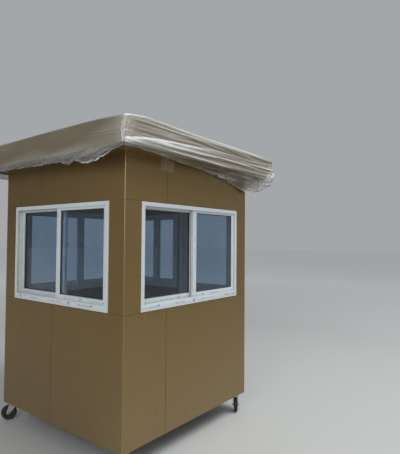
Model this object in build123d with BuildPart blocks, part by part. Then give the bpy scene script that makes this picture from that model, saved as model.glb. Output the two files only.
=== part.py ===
"""Security guard booth: a clad steel cabin with sliding windows, a hinged door and a flat roof,
on four swivel casters.

Millimetres. The origin is on the ground under the middle of the cabin, +Z is up.
The front is on -Y, the right side, which holds the door, is on +X.
"""

from build123d import *
from math import cos, sin, radians
import os

os.makedirs("parts", exist_ok=True)

# Cabin
body_width = 1500
body_depth = 1500
wall_thick = 60
skin_thick = 4
fold_radius = 4
sheet_width = 1220
left_seam = 806
seam_gap = 4
frame_fit = 0.5

# Chassis and floor
rail_width = 60
rail_height = 50
cross_member_spacing = 420
floor_thick = 20

# Windows
corner_pier = 155
door_pier = 20
back_pier = 125
window_sill = 906
window_head = 1667
window_face = 29
window_sill_face = 45
frame_proud = 6
outer_lip = 10
track_width = 27
track_web = 4
side_pocket = 6
top_pocket = 20
sash_play = 1
seat_gap = 0.3
sash_stile = 36
meeting_stile = 40
inner_stile = 66
inner_lap = 48
sash_top_rail = 34
sash_bottom_rail = 36
glass_thick = 5
glass_bite = 8
hook_reach = 4
hook_thick = 3
hook_gap = 1
latch_up = 425
latch_width = 18
latch_height = 70
latch_base = 4
latch_cam_radius = 13
latch_cam_thick = 5
latch_lever_thick = 4
latch_reach = 36
latch_grip = 10

# Door
door_width = 700
door_height = 1925
header_height = 75
door_face = 40
door_sill = 20
door_gap = 5
leaf_thick = 45
stop_reach = 15
stile_width = 80
top_rail = 80
bottom_rail = 100
mid_rail_bottom = 870
mid_rail_height = 90
door_panel_thick = 10
hinge_heights = (225, 1110, 1775)
hinge_length = 90
barrel_radius = 7
pin_radius = 3
pin_play = 0.1
hinge_plate_width = 32
hinge_plate_thick = 3
barrel_lift = 9
knuckle_gap = 0.5
lever_height = 845
lever_length = 120
lever_grip = 18
lever_thick = 12
lever_standoff = 38
rose_radius = 10
spindle_radius = 5
spindle_play = 0.5
lock_plate_width = 36
lock_plate_height = 220
lock_plate_thick = 3

# Roof
overhang = 180
roof_height = 160
fascia_thick = 4
soffit_thick = 4
deck_thick = 20
joist_count = 5
joist_width = 40
ceiling_thick = 10
film_thick = 4
film_tuck = 110

# Casters
wheel_diameter = 125
tread_width = 27
hub_width = 36
hub_radius = 18
web_width = 14
rim_depth = 18
tread_round = 5
axle_radius = 5
axle_play = 0.1
wheel_gap = 5.7
fork_thick = 4
crown_length = 62
leg_end_radius = 15
axle_head_radius = 8
axle_head_length = 5
caster_trail = 38
race_height = 8
race_radius = 26
kingpin_radius = 6
kingpin_play = 0.3
kingpin_nut_radius = 10
kingpin_nut_height = 6
caster_plate_length = 100
caster_plate_width = 85
caster_plate_thick = 4
caster_inset = 60
caster_angles = {"front_left": 200, "front_right": 217, "back_left": 135, "back_right": 60}

# Heights that follow
wall_height = door_height + header_height
axle_height = wheel_diameter / 2
crown_bottom = wheel_diameter + wheel_gap
race_bottom = crown_bottom + fork_thick
plate_bottom = race_bottom + 2 * race_height + seat_gap
body_bottom = plate_bottom + caster_plate_thick
floor_bottom = body_bottom + rail_height
roof_bottom = body_bottom + wall_height
roof_top = roof_bottom + roof_height

# Plan sizes that follow
half_width = body_width / 2
half_depth = body_depth / 2
window_width = body_width - 2 * corner_pier
left_window_width = body_depth - 2 * corner_pier
side_window_start = wall_thick + frame_fit + door_width + door_pier
side_window_width = body_depth - side_window_start - back_pier
inner_half_width = half_width - wall_thick
inner_half_depth = half_depth - wall_thick
roof_width = body_width + 2 * overhang
roof_depth = body_depth + 2 * overhang

# Each side of the cabin as a plane on its outer face: x runs to the right as seen from
# outside, y runs up from the bottom of the cabin, and the normal points outwards
front = Plane(origin=(0, -half_depth, body_bottom), x_dir=(1, 0, 0), z_dir=(0, -1, 0))
right = Plane(origin=(half_width, 0, body_bottom), x_dir=(0, 1, 0), z_dir=(1, 0, 0))
back = Plane(origin=(0, half_depth, body_bottom), x_dir=(-1, 0, 0), z_dir=(0, 1, 0))
left = Plane(origin=(-half_width, 0, body_bottom), x_dir=(0, -1, 0), z_dir=(-1, 0, 0))

# The openings in the sides
half_window = window_width / 2
half_left_window = left_window_width / 2
side_window = (side_window_start - half_depth, side_window_start - half_depth + side_window_width)
door_start = -inner_half_depth + frame_fit
door_end = door_start + door_width


def write(piece, label):
    """Name a finished piece and write its file."""
    piece.part.label = label
    export_step(piece.part, f"parts/{label}.step")


def side_block(side, across, up, depth, mode=Mode.ADD):
    """Add a block to the part in hand: spans across and up a side, and depths inwards from its face."""
    with BuildSketch(side.offset(-depth[0])) as outline:
        with Locations(((across[0] + across[1]) / 2, (up[0] + up[1]) / 2)):
            Rectangle(across[1] - across[0], up[1] - up[0])
    extrude(outline.sketch, amount=depth[0] - depth[1], mode=mode)


def grown(spans, gap):
    """Each span with a gap added at both ends."""
    return [(low - gap, high + gap) for low, high in spans]


def wall_piece(label, side, spans, up):
    """One node of the wall's framed core: a block for each span across the side."""
    with BuildPart() as piece:
        for across in spans:
            side_block(side, across, up, (skin_thick, wall_thick))
    write(piece, label)


# Chassis: two side rails, two end rails and two cross members of square tube
with BuildPart() as chassis_side_rails:
    with BuildSketch(Plane.XY.offset(body_bottom)):
        with Locations((rail_width / 2 - inner_half_width, 0), (inner_half_width - rail_width / 2, 0)):
            Rectangle(rail_width, 2 * inner_half_depth)
    extrude(amount=rail_height)
write(chassis_side_rails, "chassis_side_rails")

with BuildPart() as chassis_end_rails:
    with BuildSketch(Plane.XY.offset(body_bottom)):
        with Locations((0, rail_width / 2 - inner_half_depth), (0, inner_half_depth - rail_width / 2)):
            Rectangle(2 * (inner_half_width - rail_width), rail_width)
    extrude(amount=rail_height)
write(chassis_end_rails, "chassis_end_rails")

with BuildPart() as chassis_cross_members:
    with BuildSketch(Plane.XY.offset(body_bottom)):
        with GridLocations(cross_member_spacing, 0, 2, 1):
            Rectangle(rail_width, 2 * (inner_half_depth - rail_width))
    extrude(amount=rail_height)
write(chassis_cross_members, "chassis_cross_members")

with BuildPart() as floor_deck:
    with BuildSketch(Plane.XY.offset(floor_bottom)):
        Rectangle(2 * inner_half_width, 2 * inner_half_depth)
    extrude(amount=floor_thick)
write(floor_deck, "floor_deck")

# Wall cores: the front and back run the full width, the sides stand between them
core_half_width = half_width - skin_thick
hole_bottom = window_sill - frame_fit
hole_top = window_head + frame_fit
for name, side, half, half_hole in (
    ("front", front, core_half_width, half_window),
    ("back", back, core_half_width, half_window),
    ("left", left, inner_half_depth, half_left_window),
):
    hole = half_hole + frame_fit
    wall_piece(f"{name}_wall_lower", side, [(-half, half)], (0, hole_bottom))
    wall_piece(f"{name}_wall_piers", side, [(-half, -hole), (hole, half)], (hole_bottom, hole_top))
    wall_piece(f"{name}_wall_header", side, [(-half, half)], (hole_top, wall_height))

beside_door = door_end + frame_fit
right_spans = [
    (beside_door, side_window[0] - frame_fit),
    (side_window[1] + frame_fit, inner_half_depth),
]
wall_piece("right_wall_lower", right, [(beside_door, inner_half_depth)], (0, hole_bottom))
wall_piece("right_wall_piers", right, right_spans, (hole_bottom, hole_top))
wall_piece("right_wall_header", right, [(beside_door, inner_half_depth)], (hole_top, wall_height))
wall_piece("door_header", right, [(-inner_half_depth, beside_door)], (door_height + frame_fit, wall_height))


# Cladding: sheets of one width, folded round the corners, so each seam follows from the last
front_seam = sheet_width - left_seam
back_seam = sheet_width - (body_depth - left_seam)
right_back_seam = sheet_width - (body_width - back_seam)
right_front_seam = sheet_width - (body_width - front_seam)
seams = (
    (front, front_seam - half_width),
    (left, half_depth - left_seam),
    (back, half_width - back_seam),
    (right, half_depth - right_back_seam),
    (right, right_front_seam - half_depth),
)


def cladding_band(label, bottom, top):
    """A band of folded sheets round the cabin, open at the seams, the windows and the door."""
    middle = (bottom + top) / 2
    with BuildPart() as band:
        with BuildSketch(Plane.XY.offset(body_bottom + bottom)):
            RectangleRounded(body_width, body_depth, fold_radius)
            Rectangle(body_width - 2 * skin_thick, body_depth - 2 * skin_thick, mode=Mode.SUBTRACT)
        extrude(amount=top - bottom)
        for side, across in seams:
            with BuildSketch(side):
                with Locations((across, middle)):
                    Rectangle(seam_gap, top - bottom)
            extrude(amount=2 * skin_thick, both=True, mode=Mode.SUBTRACT)
        for side, width in ((front, window_width), (back, window_width), (left, left_window_width)):
            with BuildSketch(side):
                with Locations((0, (window_sill + window_head) / 2)):
                    Rectangle(width + 2 * frame_fit, hole_top - hole_bottom)
            extrude(amount=2 * skin_thick, both=True, mode=Mode.SUBTRACT)
        with BuildSketch(right):
            with Locations((sum(side_window) / 2, (window_sill + window_head) / 2)):
                Rectangle(side_window_width + 2 * frame_fit, hole_top - hole_bottom)
            with Locations(((door_start + door_end) / 2, (door_height + frame_fit) / 2)):
                Rectangle(door_width + 2 * frame_fit, door_height + frame_fit)
        extrude(amount=2 * skin_thick, both=True, mode=Mode.SUBTRACT)
    write(band, label)


cladding_band("cladding_lower", 0, window_sill - seam_gap)
cladding_band("cladding_middle", window_sill, window_head)
cladding_band("cladding_upper", window_head + seam_gap, wall_height)

# Sliding windows: depths run inwards from the wall's outer face
outer_track = (outer_lip - frame_proud, outer_lip - frame_proud + track_width)
inner_track = (outer_track[1] + track_web, outer_track[1] + track_web + track_width)
frame_back = inner_track[1] + track_web


opening_low = window_sill + window_sill_face
opening_high = window_head - window_face


def window_frame(label, side, span):
    """A frame with a groove all round for each of its two sashes."""
    across = (span[0] + window_face, span[1] - window_face)
    pocket_across = (across[0] - side_pocket, across[1] + side_pocket)
    pocket_up = (opening_low - side_pocket, opening_high + top_pocket)
    depth = (-frame_proud, frame_back)
    with BuildPart() as frame:
        side_block(side, span, (window_sill, window_head), depth)
        side_block(side, across, (opening_low, opening_high), depth, mode=Mode.SUBTRACT)
        for track in (outer_track, inner_track):
            side_block(side, pocket_across, pocket_up, track, mode=Mode.SUBTRACT)
    write(frame, label)


def sash_outlines(span):
    """The two sashes of a window, the outer one first: their spans, their openings' and their tracks."""
    low = span[0] + window_face - side_pocket + sash_play
    high = span[1] - window_face + side_pocket - sash_play
    middle = (span[0] + span[1]) / 2
    outer_edge = middle - meeting_stile / 2
    inner_edge = middle + inner_lap
    return (
        ((outer_edge, high), (outer_edge + meeting_stile, high - sash_stile), outer_track),
        ((low, inner_edge), (low + sash_stile, inner_edge - inner_stile), inner_track),
    )


sash_low = opening_low - side_pocket + seat_gap
sash_high = opening_high + top_pocket - sash_play
glass_low = sash_low + sash_bottom_rail
glass_high = sash_high - sash_top_rail


def sash_pane(opening, track):
    """A sash's pane, held in a groove round its opening: spans across, up and inwards."""
    face = (track[0] + track[1] - glass_thick) / 2
    return (
        (opening[0] - glass_bite, opening[1] + glass_bite),
        (glass_low - glass_bite, glass_high + glass_bite),
        (face, face + glass_thick),
    )


def interlock_hooks(span):
    """The hooks on the two meeting stiles, which catch each other when the sashes are shut."""
    middle = (span[0] + span[1]) / 2
    up = (opening_low + sash_play, opening_high - sash_play)
    near = hook_gap / 2
    far = near + hook_thick
    outer_back = outer_track[1] - sash_play
    inner_front = inner_track[0] + sash_play
    return (
        ((middle - far, middle - near), up, (outer_back, outer_back + hook_reach)),
        ((middle + near, middle + far), up, (inner_front - hook_reach, inner_front)),
    )


def window_sashes(label, side, span):
    """The pair of sashes, each a grooved rail and stile frame in its own track."""
    with BuildPart() as sashes:
        for across, opening, track in sash_outlines(span):
            depth = (track[0] + sash_play, track[1] - sash_play)
            side_block(side, across, (sash_low, sash_high), depth)
            side_block(side, opening, (glass_low, glass_high), depth, mode=Mode.SUBTRACT)
            side_block(side, *grown(sash_pane(opening, track), seat_gap), mode=Mode.SUBTRACT)
        for hook in interlock_hooks(span):
            side_block(side, *hook)
    write(sashes, label)


def window_glass(label, side, span):
    """The two panes, each held in the groove of its sash."""
    with BuildPart() as panes:
        for across, opening, track in sash_outlines(span):
            side_block(side, *sash_pane(opening, track))
    write(panes, label)


windows = (
    ("front", front, (-half_window, half_window)),
    ("left", left, (-half_left_window, half_left_window)),
    ("back", back, (-half_window, half_window)),
    ("right", right, side_window),
)
for name, side, span in windows:
    window_frame(f"{name}_window_frame", side, span)
    window_sashes(f"{name}_window_sashes", side, span)
    window_glass(f"{name}_window_glass", side, span)

# Crescent latches on the meeting stiles of the inner sashes, inside the cabin
latch_face = inner_track[1] - sash_play
latch_middle = window_sill + latch_up
with BuildPart() as window_latches:
    for name, side, span in windows:
        centre = (span[0] + span[1]) / 2 + inner_lap - inner_stile / 2
        lever_tip = (centre + latch_reach / 2, latch_middle + latch_reach)
        with BuildSketch(side.offset(-latch_face)):
            with Locations((centre, latch_middle)):
                RectangleRounded(latch_width, latch_height, latch_width / 3)
        extrude(amount=-latch_base)
        with BuildSketch(side.offset(-latch_face - latch_base)):
            with Locations((centre, latch_middle)):
                Circle(latch_cam_radius)
        extrude(amount=-latch_cam_thick)
        with BuildSketch(side.offset(-latch_face - latch_base - latch_cam_thick)):
            with Locations((centre, latch_middle)):
                Circle(latch_width / 2)
            with Locations(lever_tip):
                Circle(latch_grip / 2)
            make_hull()
        extrude(amount=-latch_lever_thick)
write(window_latches, "window_latches")

# Door frame: two jambs, a head and a sill, with a stop behind the leaf on the jambs and head
frame_front = -frame_proud
leaf_back = frame_front + leaf_thick
stop_front = leaf_back + door_gap
opening = (door_start + door_face, door_end - door_face)
opening_middle = (opening[0] + opening[1]) / 2
door_middle = (door_start + door_end) / 2
with BuildPart() as door_frame:
    with BuildSketch(right.offset(frame_proud)):
        with Locations((door_middle, door_height / 2)):
            Rectangle(door_width, door_height)
        with Locations((opening_middle, (door_sill + door_height - door_face) / 2)):
            Rectangle(opening[1] - opening[0], door_height - door_face - door_sill, mode=Mode.SUBTRACT)
    extrude(amount=-(frame_proud + wall_thick))
    with BuildSketch(right.offset(-stop_front)):
        with Locations((opening_middle, (door_sill + door_height - door_face) / 2)):
            Rectangle(opening[1] - opening[0], door_height - door_face - door_sill)
        with Locations((opening_middle, (door_sill + door_height - door_face - stop_reach) / 2)):
            Rectangle(
                opening[1] - opening[0] - 2 * stop_reach,
                door_height - door_face - door_sill - stop_reach,
                mode=Mode.SUBTRACT,
            )
    extrude(amount=stop_front - wall_thick)
write(door_frame, "door_frame")

# Door leaf: stiles and three rails round a glazed upper part and a panelled lower part
leaf = (opening[0] + door_gap, opening[1] - door_gap)
leaf_middle = (leaf[0] + leaf[1]) / 2
leaf_bottom = door_sill + door_gap
leaf_top = door_height - door_face - door_gap
infill_width = leaf[1] - leaf[0] - 2 * stile_width
panel_span = (leaf_bottom + bottom_rail, mid_rail_bottom)
pane_span = (mid_rail_bottom + mid_rail_height, leaf_top - top_rail)
lever_across = leaf[0] + stile_width / 2


def door_infill(up, thick):
    """A sheet held in a groove round an opening of the leaf: spans across, up and inwards."""
    face = frame_front + (leaf_thick - thick) / 2
    return (
        (leaf[0] + stile_width - glass_bite, leaf[1] - stile_width + glass_bite),
        (up[0] - glass_bite, up[1] + glass_bite),
        (face, face + thick),
    )


door_infills = (
    ("door_panel", door_infill(panel_span, door_panel_thick)),
    ("door_glass", door_infill(pane_span, glass_thick)),
)
with BuildPart() as door_leaf:
    with BuildSketch(right.offset(-frame_front)):
        with Locations((leaf_middle, (leaf_bottom + leaf_top) / 2)):
            Rectangle(leaf[1] - leaf[0], leaf_top - leaf_bottom)
        for low, high in (panel_span, pane_span):
            with Locations((leaf_middle, (low + high) / 2)):
                Rectangle(infill_width, high - low, mode=Mode.SUBTRACT)
        with Locations((lever_across, lever_height)):
            Circle(spindle_radius + spindle_play, mode=Mode.SUBTRACT)
    extrude(amount=-leaf_thick)
    for label, spans in door_infills:
        side_block(right, *grown(spans, seat_gap), mode=Mode.SUBTRACT)
write(door_leaf, "door_leaf")

for label, spans in door_infills:
    with BuildPart() as sheet:
        side_block(right, *spans)
    write(sheet, label)

# Door hinges: three knuckles on a pin, the outer two with the frame's plate, the middle with the leaf's
pin_across = opening[1] - door_gap / 2
knuckle = (hinge_length - 2 * knuckle_gap) / 3


def hinge_barrel(centre, low, high, bore):
    """A knuckle between two heights on the side, bored for the pin."""
    base = body_bottom + low
    with BuildSketch(Plane.XY.offset(base)) as ring:
        with Locations(centre):
            Circle(barrel_radius)
            if bore:
                Circle(bore, mode=Mode.SUBTRACT)
    extrude(ring.sketch, amount=high - low)


hinge_axis = (half_width + frame_proud + barrel_lift, pin_across)
plate_depth = (frame_front - hinge_plate_thick, frame_front)
plate_edge = barrel_radius + 1
with BuildPart() as hinge_frame_halves:
    for height in hinge_heights:
        low = height - hinge_length / 2
        high = height + hinge_length / 2
        side_block(right, (pin_across + plate_edge, pin_across + hinge_plate_width), (low, high), plate_depth)
        for start in (low, high - knuckle):
            hinge_barrel(hinge_axis, start, start + knuckle, None)
            side_block(right, (pin_across, pin_across + plate_edge), (start, start + knuckle), plate_depth)
        with BuildSketch(Plane.XY.offset(body_bottom + low)) as pin:
            with Locations(hinge_axis):
                Circle(pin_radius)
        extrude(pin.sketch, amount=hinge_length)
write(hinge_frame_halves, "hinge_frame_halves")

with BuildPart() as hinge_leaf_halves:
    for height in hinge_heights:
        low = height - knuckle / 2
        high = height + knuckle / 2
        plate_low = height - hinge_length / 2
        side_block(
            right,
            (pin_across - hinge_plate_width, pin_across - plate_edge),
            (plate_low, plate_low + hinge_length),
            plate_depth,
        )
        side_block(right, (pin_across - plate_edge, pin_across), (low, high), plate_depth)
        hinge_barrel(hinge_axis, low, high, pin_radius + pin_play)
write(hinge_leaf_halves, "hinge_leaf_halves")

# Lock plates on both faces of the lock stile, and the lever pair on one spindle through them
with BuildPart() as lock_plates:
    for depth in (frame_front - lock_plate_thick, leaf_back):
        with BuildSketch(right.offset(-depth)):
            with Locations((lever_across, lever_height)):
                RectangleRounded(lock_plate_width, lock_plate_height, lock_plate_width / 4)
                Circle(spindle_radius + spindle_play, mode=Mode.SUBTRACT)
        extrude(amount=-lock_plate_thick)
write(lock_plates, "lock_plates")

plate_out = lock_plate_thick + seat_gap
with BuildPart() as door_lever:
    with BuildSketch(right.offset(-(frame_front - lock_plate_thick - lever_standoff))):
        with Locations((lever_across, lever_height)):
            Circle(spindle_radius)
    extrude(amount=-(leaf_thick + 2 * lock_plate_thick + 2 * lever_standoff))
    for near in (frame_front - plate_out, leaf_back + plate_out + lever_standoff):
        with BuildSketch(right.offset(-near)):
            with Locations((lever_across, lever_height)):
                Circle(rose_radius)
        extrude(amount=lever_standoff)
    for near in (
        frame_front - plate_out - lever_standoff,
        leaf_back + plate_out + lever_standoff + lever_thick,
    ):
        with BuildSketch(right.offset(-near)):
            with Locations((lever_across + lever_length / 2 - lever_grip / 2, lever_height)):
                SlotOverall(lever_length, lever_grip)
        extrude(amount=lever_thick)
write(door_lever, "door_lever")

# Roof: joists on the walls, a deck, a boxed fascia, a soffit under the overhang and a ceiling inside
deck_bottom = roof_top - deck_thick
inner_roof_width = roof_width - 2 * fascia_thick
inner_roof_depth = roof_depth - 2 * fascia_thick
with BuildPart() as roof_joists:
    with BuildSketch(Plane.XY.offset(roof_bottom)):
        with GridLocations((inner_roof_width - joist_width) / (joist_count - 1), 0, joist_count, 1):
            Rectangle(joist_width, inner_roof_depth)
    extrude(amount=deck_bottom - roof_bottom)
write(roof_joists, "roof_joists")

with BuildPart() as roof_deck:
    with BuildSketch(Plane.XY.offset(deck_bottom)):
        Rectangle(inner_roof_width, inner_roof_depth)
    extrude(amount=deck_thick)
write(roof_deck, "roof_deck")

with BuildPart() as roof_fascia:
    with BuildSketch(Plane.XY.offset(roof_bottom - soffit_thick)):
        Rectangle(roof_width, roof_depth)
        Rectangle(inner_roof_width, inner_roof_depth, mode=Mode.SUBTRACT)
    extrude(amount=roof_height + soffit_thick)
write(roof_fascia, "roof_fascia")

with BuildPart() as roof_soffit:
    with BuildSketch(Plane.XY.offset(roof_bottom - soffit_thick)):
        Rectangle(inner_roof_width, inner_roof_depth)
        Rectangle(body_width + 2 * frame_fit, body_depth + 2 * frame_fit, mode=Mode.SUBTRACT)
    extrude(amount=soffit_thick)
write(roof_soffit, "roof_soffit")

with BuildPart() as ceiling:
    with BuildSketch(Plane.XY.offset(roof_bottom - ceiling_thick)):
        Rectangle(2 * inner_half_width, 2 * inner_half_depth)
    extrude(amount=ceiling_thick)
write(ceiling, "ceiling")

# Wrapping film: a thin skin over the roof, down the fascia and tucked under it
film_inner_width = roof_width + 2 * seat_gap
film_inner_depth = roof_depth + 2 * seat_gap
film_outer_width = film_inner_width + 2 * film_thick
film_outer_depth = film_inner_depth + 2 * film_thick
film_bottom = roof_bottom - soffit_thick - seat_gap - film_thick
with BuildPart() as roof_film:
    with BuildSketch(Plane.XY.offset(film_bottom)):
        Rectangle(film_outer_width, film_outer_depth)
        Rectangle(
            film_outer_width - 2 * film_tuck,
            film_outer_depth - 2 * film_tuck,
            mode=Mode.SUBTRACT,
        )
    extrude(amount=film_thick)
    with BuildSketch(Plane.XY.offset(film_bottom + film_thick)):
        Rectangle(film_outer_width, film_outer_depth)
        Rectangle(film_inner_width, film_inner_depth, mode=Mode.SUBTRACT)
    extrude(amount=roof_top + seat_gap - film_bottom - film_thick)
    with BuildSketch(Plane.XY.offset(roof_top + seat_gap)):
        Rectangle(film_outer_width, film_outer_depth)
    extrude(amount=film_thick)
write(roof_film, "roof_film")

# Casters
swivel_x = half_width - caster_inset
swivel_y = half_depth - caster_inset
swivel_places = {
    "front_left": (-swivel_x, -swivel_y),
    "front_right": (swivel_x, -swivel_y),
    "back_left": (-swivel_x, swivel_y),
    "back_right": (swivel_x, swivel_y),
}
fork_half_width = hub_width / 2 + seat_gap + fork_thick

with BuildPart() as caster_plates:
    for place in swivel_places.values():
        with BuildSketch(Plane.XY.offset(plate_bottom)):
            with Locations(place):
                RectangleRounded(caster_plate_length, caster_plate_width, fold_radius)
        extrude(amount=caster_plate_thick)
        with BuildSketch(Plane.XY.offset(plate_bottom - race_height)):
            with Locations(place):
                Circle(race_radius)
        extrude(amount=race_height)
        with BuildSketch(Plane.XY.offset(crown_bottom - seat_gap)):
            with Locations(place):
                Circle(kingpin_radius)
        extrude(amount=plate_bottom - crown_bottom)
        with BuildSketch(Plane.XY.offset(crown_bottom - seat_gap - kingpin_nut_height)):
            with Locations(place):
                RegularPolygon(kingpin_nut_radius, 6)
        extrude(amount=kingpin_nut_height)
write(caster_plates, "caster_plates")


def caster_fork(place, angle):
    """A pressed fork that turns on the kingpin, with the axle bolt across its legs."""
    ahead = (cos(radians(angle)), sin(radians(angle)), 0)
    across = (-sin(radians(angle)), cos(radians(angle)), 0)
    ground = Plane(origin=(place[0], place[1], 0), x_dir=ahead, z_dir=(0, 0, 1))
    upright = Plane(origin=(place[0], place[1], 0), x_dir=ahead, z_dir=(-across[0], -across[1], 0))
    with BuildPart() as fork:
        with BuildSketch(ground.offset(crown_bottom)):
            Rectangle(crown_length, 2 * fork_half_width)
            Circle(kingpin_radius + kingpin_play, mode=Mode.SUBTRACT)
        extrude(amount=fork_thick)
        with BuildSketch(ground.offset(race_bottom)):
            Circle(race_radius)
            Circle(kingpin_radius + kingpin_play, mode=Mode.SUBTRACT)
        extrude(amount=race_height)
        for start in (fork_half_width, fork_thick - fork_half_width):
            with BuildSketch(upright.offset(start)):
                with Locations((caster_trail, axle_height)):
                    Circle(leg_end_radius)
                with Locations((0, crown_bottom + fork_thick / 2)):
                    Rectangle(crown_length, fork_thick)
                make_hull()
            extrude(amount=-fork_thick)
        with BuildSketch(upright.offset(fork_half_width + axle_head_length)):
            with Locations((caster_trail, axle_height)):
                Circle(axle_radius)
        extrude(amount=-2 * (fork_half_width + axle_head_length))
        for start in (fork_half_width + axle_head_length, -fork_half_width):
            with BuildSketch(upright.offset(start)):
                with Locations((caster_trail, axle_height)):
                    Circle(axle_head_radius)
            extrude(amount=-axle_head_length)
    return fork


def caster_wheel(place, angle):
    """A solid-tyred wheel: hub, web and rim turned about its axle."""
    ahead = Vector(cos(radians(angle)), sin(radians(angle)), 0)
    across = Vector(-sin(radians(angle)), cos(radians(angle)), 0)
    centre = Vector(place[0], place[1], axle_height) + ahead * caster_trail
    section = Plane(origin=centre, x_dir=across, z_dir=ahead)
    rim_bottom = wheel_diameter / 2 - rim_depth
    bore = axle_radius + axle_play
    with BuildPart() as wheel:
        with BuildSketch(section):
            with Locations((0, (bore + hub_radius) / 2)):
                Rectangle(hub_width, hub_radius - bore)
            with Locations((0, (hub_radius + rim_bottom) / 2)):
                Rectangle(web_width, rim_bottom - hub_radius)
            with Locations((0, wheel_diameter / 2 - rim_depth / 2)):
                RectangleRounded(tread_width, rim_depth, tread_round)
        revolve(axis=Axis(centre, across))
    return wheel


for name, place in swivel_places.items():
    write(caster_fork(place, caster_angles[name]), f"caster_fork_{name}")
    write(caster_wheel(place, caster_angles[name]), f"caster_wheel_{name}")
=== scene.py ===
"""Looks of a security guard booth: bronze cladding, taped white windows, a wrapped roof, casters.

Metres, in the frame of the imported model: the origin is on the ground under the middle of the
cabin, +Z is up, the front is on -Y and the door on +X.
"""

import math

import bmesh
import bpy
import numpy as np
from bpy.props import FloatProperty, FloatVectorProperty, IntProperty, PointerProperty
from mathutils import Matrix, Vector, noise


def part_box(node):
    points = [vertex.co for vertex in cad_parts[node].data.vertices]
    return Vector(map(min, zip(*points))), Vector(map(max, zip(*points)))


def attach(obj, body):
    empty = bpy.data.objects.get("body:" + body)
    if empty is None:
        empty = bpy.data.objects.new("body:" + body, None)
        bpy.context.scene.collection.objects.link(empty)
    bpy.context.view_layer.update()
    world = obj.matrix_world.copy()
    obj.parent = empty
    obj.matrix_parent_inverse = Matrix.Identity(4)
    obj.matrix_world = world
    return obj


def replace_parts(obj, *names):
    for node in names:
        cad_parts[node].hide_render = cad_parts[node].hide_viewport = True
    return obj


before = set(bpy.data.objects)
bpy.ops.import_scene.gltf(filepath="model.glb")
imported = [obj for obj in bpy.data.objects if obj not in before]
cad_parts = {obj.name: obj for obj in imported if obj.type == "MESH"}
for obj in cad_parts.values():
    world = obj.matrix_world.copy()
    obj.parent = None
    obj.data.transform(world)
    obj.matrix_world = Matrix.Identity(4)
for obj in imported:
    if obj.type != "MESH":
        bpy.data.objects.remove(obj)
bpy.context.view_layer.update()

bl_info = {
    "name": "Guard booth looks",
    "version": (1, 0, 0),
    "blender": (4, 5, 0),
    "location": "3D View > Sidebar > Booth",
    "description": "Finishes, trims, roof wrapping and studio of a security guard booth",
    "category": "Object",
}

# The cabin and its roof as the frame has them
WALL_LOW, WALL_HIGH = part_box("cladding_lower")
HALF_WIDTH, HALF_DEPTH = WALL_HIGH.x, WALL_HIGH.y
WALL_BOTTOM = WALL_LOW.z
FASCIA_LOW, FASCIA_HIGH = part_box("roof_fascia")
DECK_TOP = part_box("roof_deck")[1].z
SIDES = ("front", "right", "back", "left")
CASTERS = ("front_left", "front_right", "back_left", "back_right")
# Width of the cladding's sheets, the left wall's seam from the near corner, and the open joint
SHEET_WIDTH, LEFT_SEAM, SEAM_GAP = 1.220, 0.806, 0.004
# Windows: faces of the frame, widths of the sashes' profiles, and thicknesses
FRAME_FACE, SILL_FACE = 0.029, 0.045
STILE, TOP_RAIL, BOTTOM_RAIL = 0.036, 0.034, 0.036
OUTER_STILE, INNER_STILE, INNER_LAP = 0.040, 0.066, 0.048
SASH_THICK, GLASS_THICK = 0.025, 0.005
# Studio: the places of the lamps and what they face, then the camera's place and axes
KEY_PLACE, FILL_PLACE, LAMPS_FACE = (2.2, -4.4, 8.2), (-7.0, -3.4, 3.8), (0, 0, 1.2)
CAMERA_PLACE = (-2.65765, -2.84840, 1.5633)
CAMERA_RIGHT, CAMERA_UP = (0.61105, -0.79155, 0.00766), (-0.02767, -0.01168, 0.99955)


def tone(red, green, blue):
    """A colour given as display values from 0 to 255, in scene-linear values."""
    shares = [value / 255 for value in (red, green, blue)]
    return tuple(
        share / 12.92 if share <= 0.04045 else ((share + 0.055) / 1.055) ** 2.4 for share in shares
    )


def colour_property(name, description, default):
    """A colour that the user can change."""
    return FloatVectorProperty(
        name=name, description=description, subtype="COLOR", size=3, min=0, max=1, default=default
    )


def length_property(name, description, default):
    """A length that the user can change, in metres."""
    return FloatProperty(name=name, description=description, default=default, min=0, unit="LENGTH")


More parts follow.
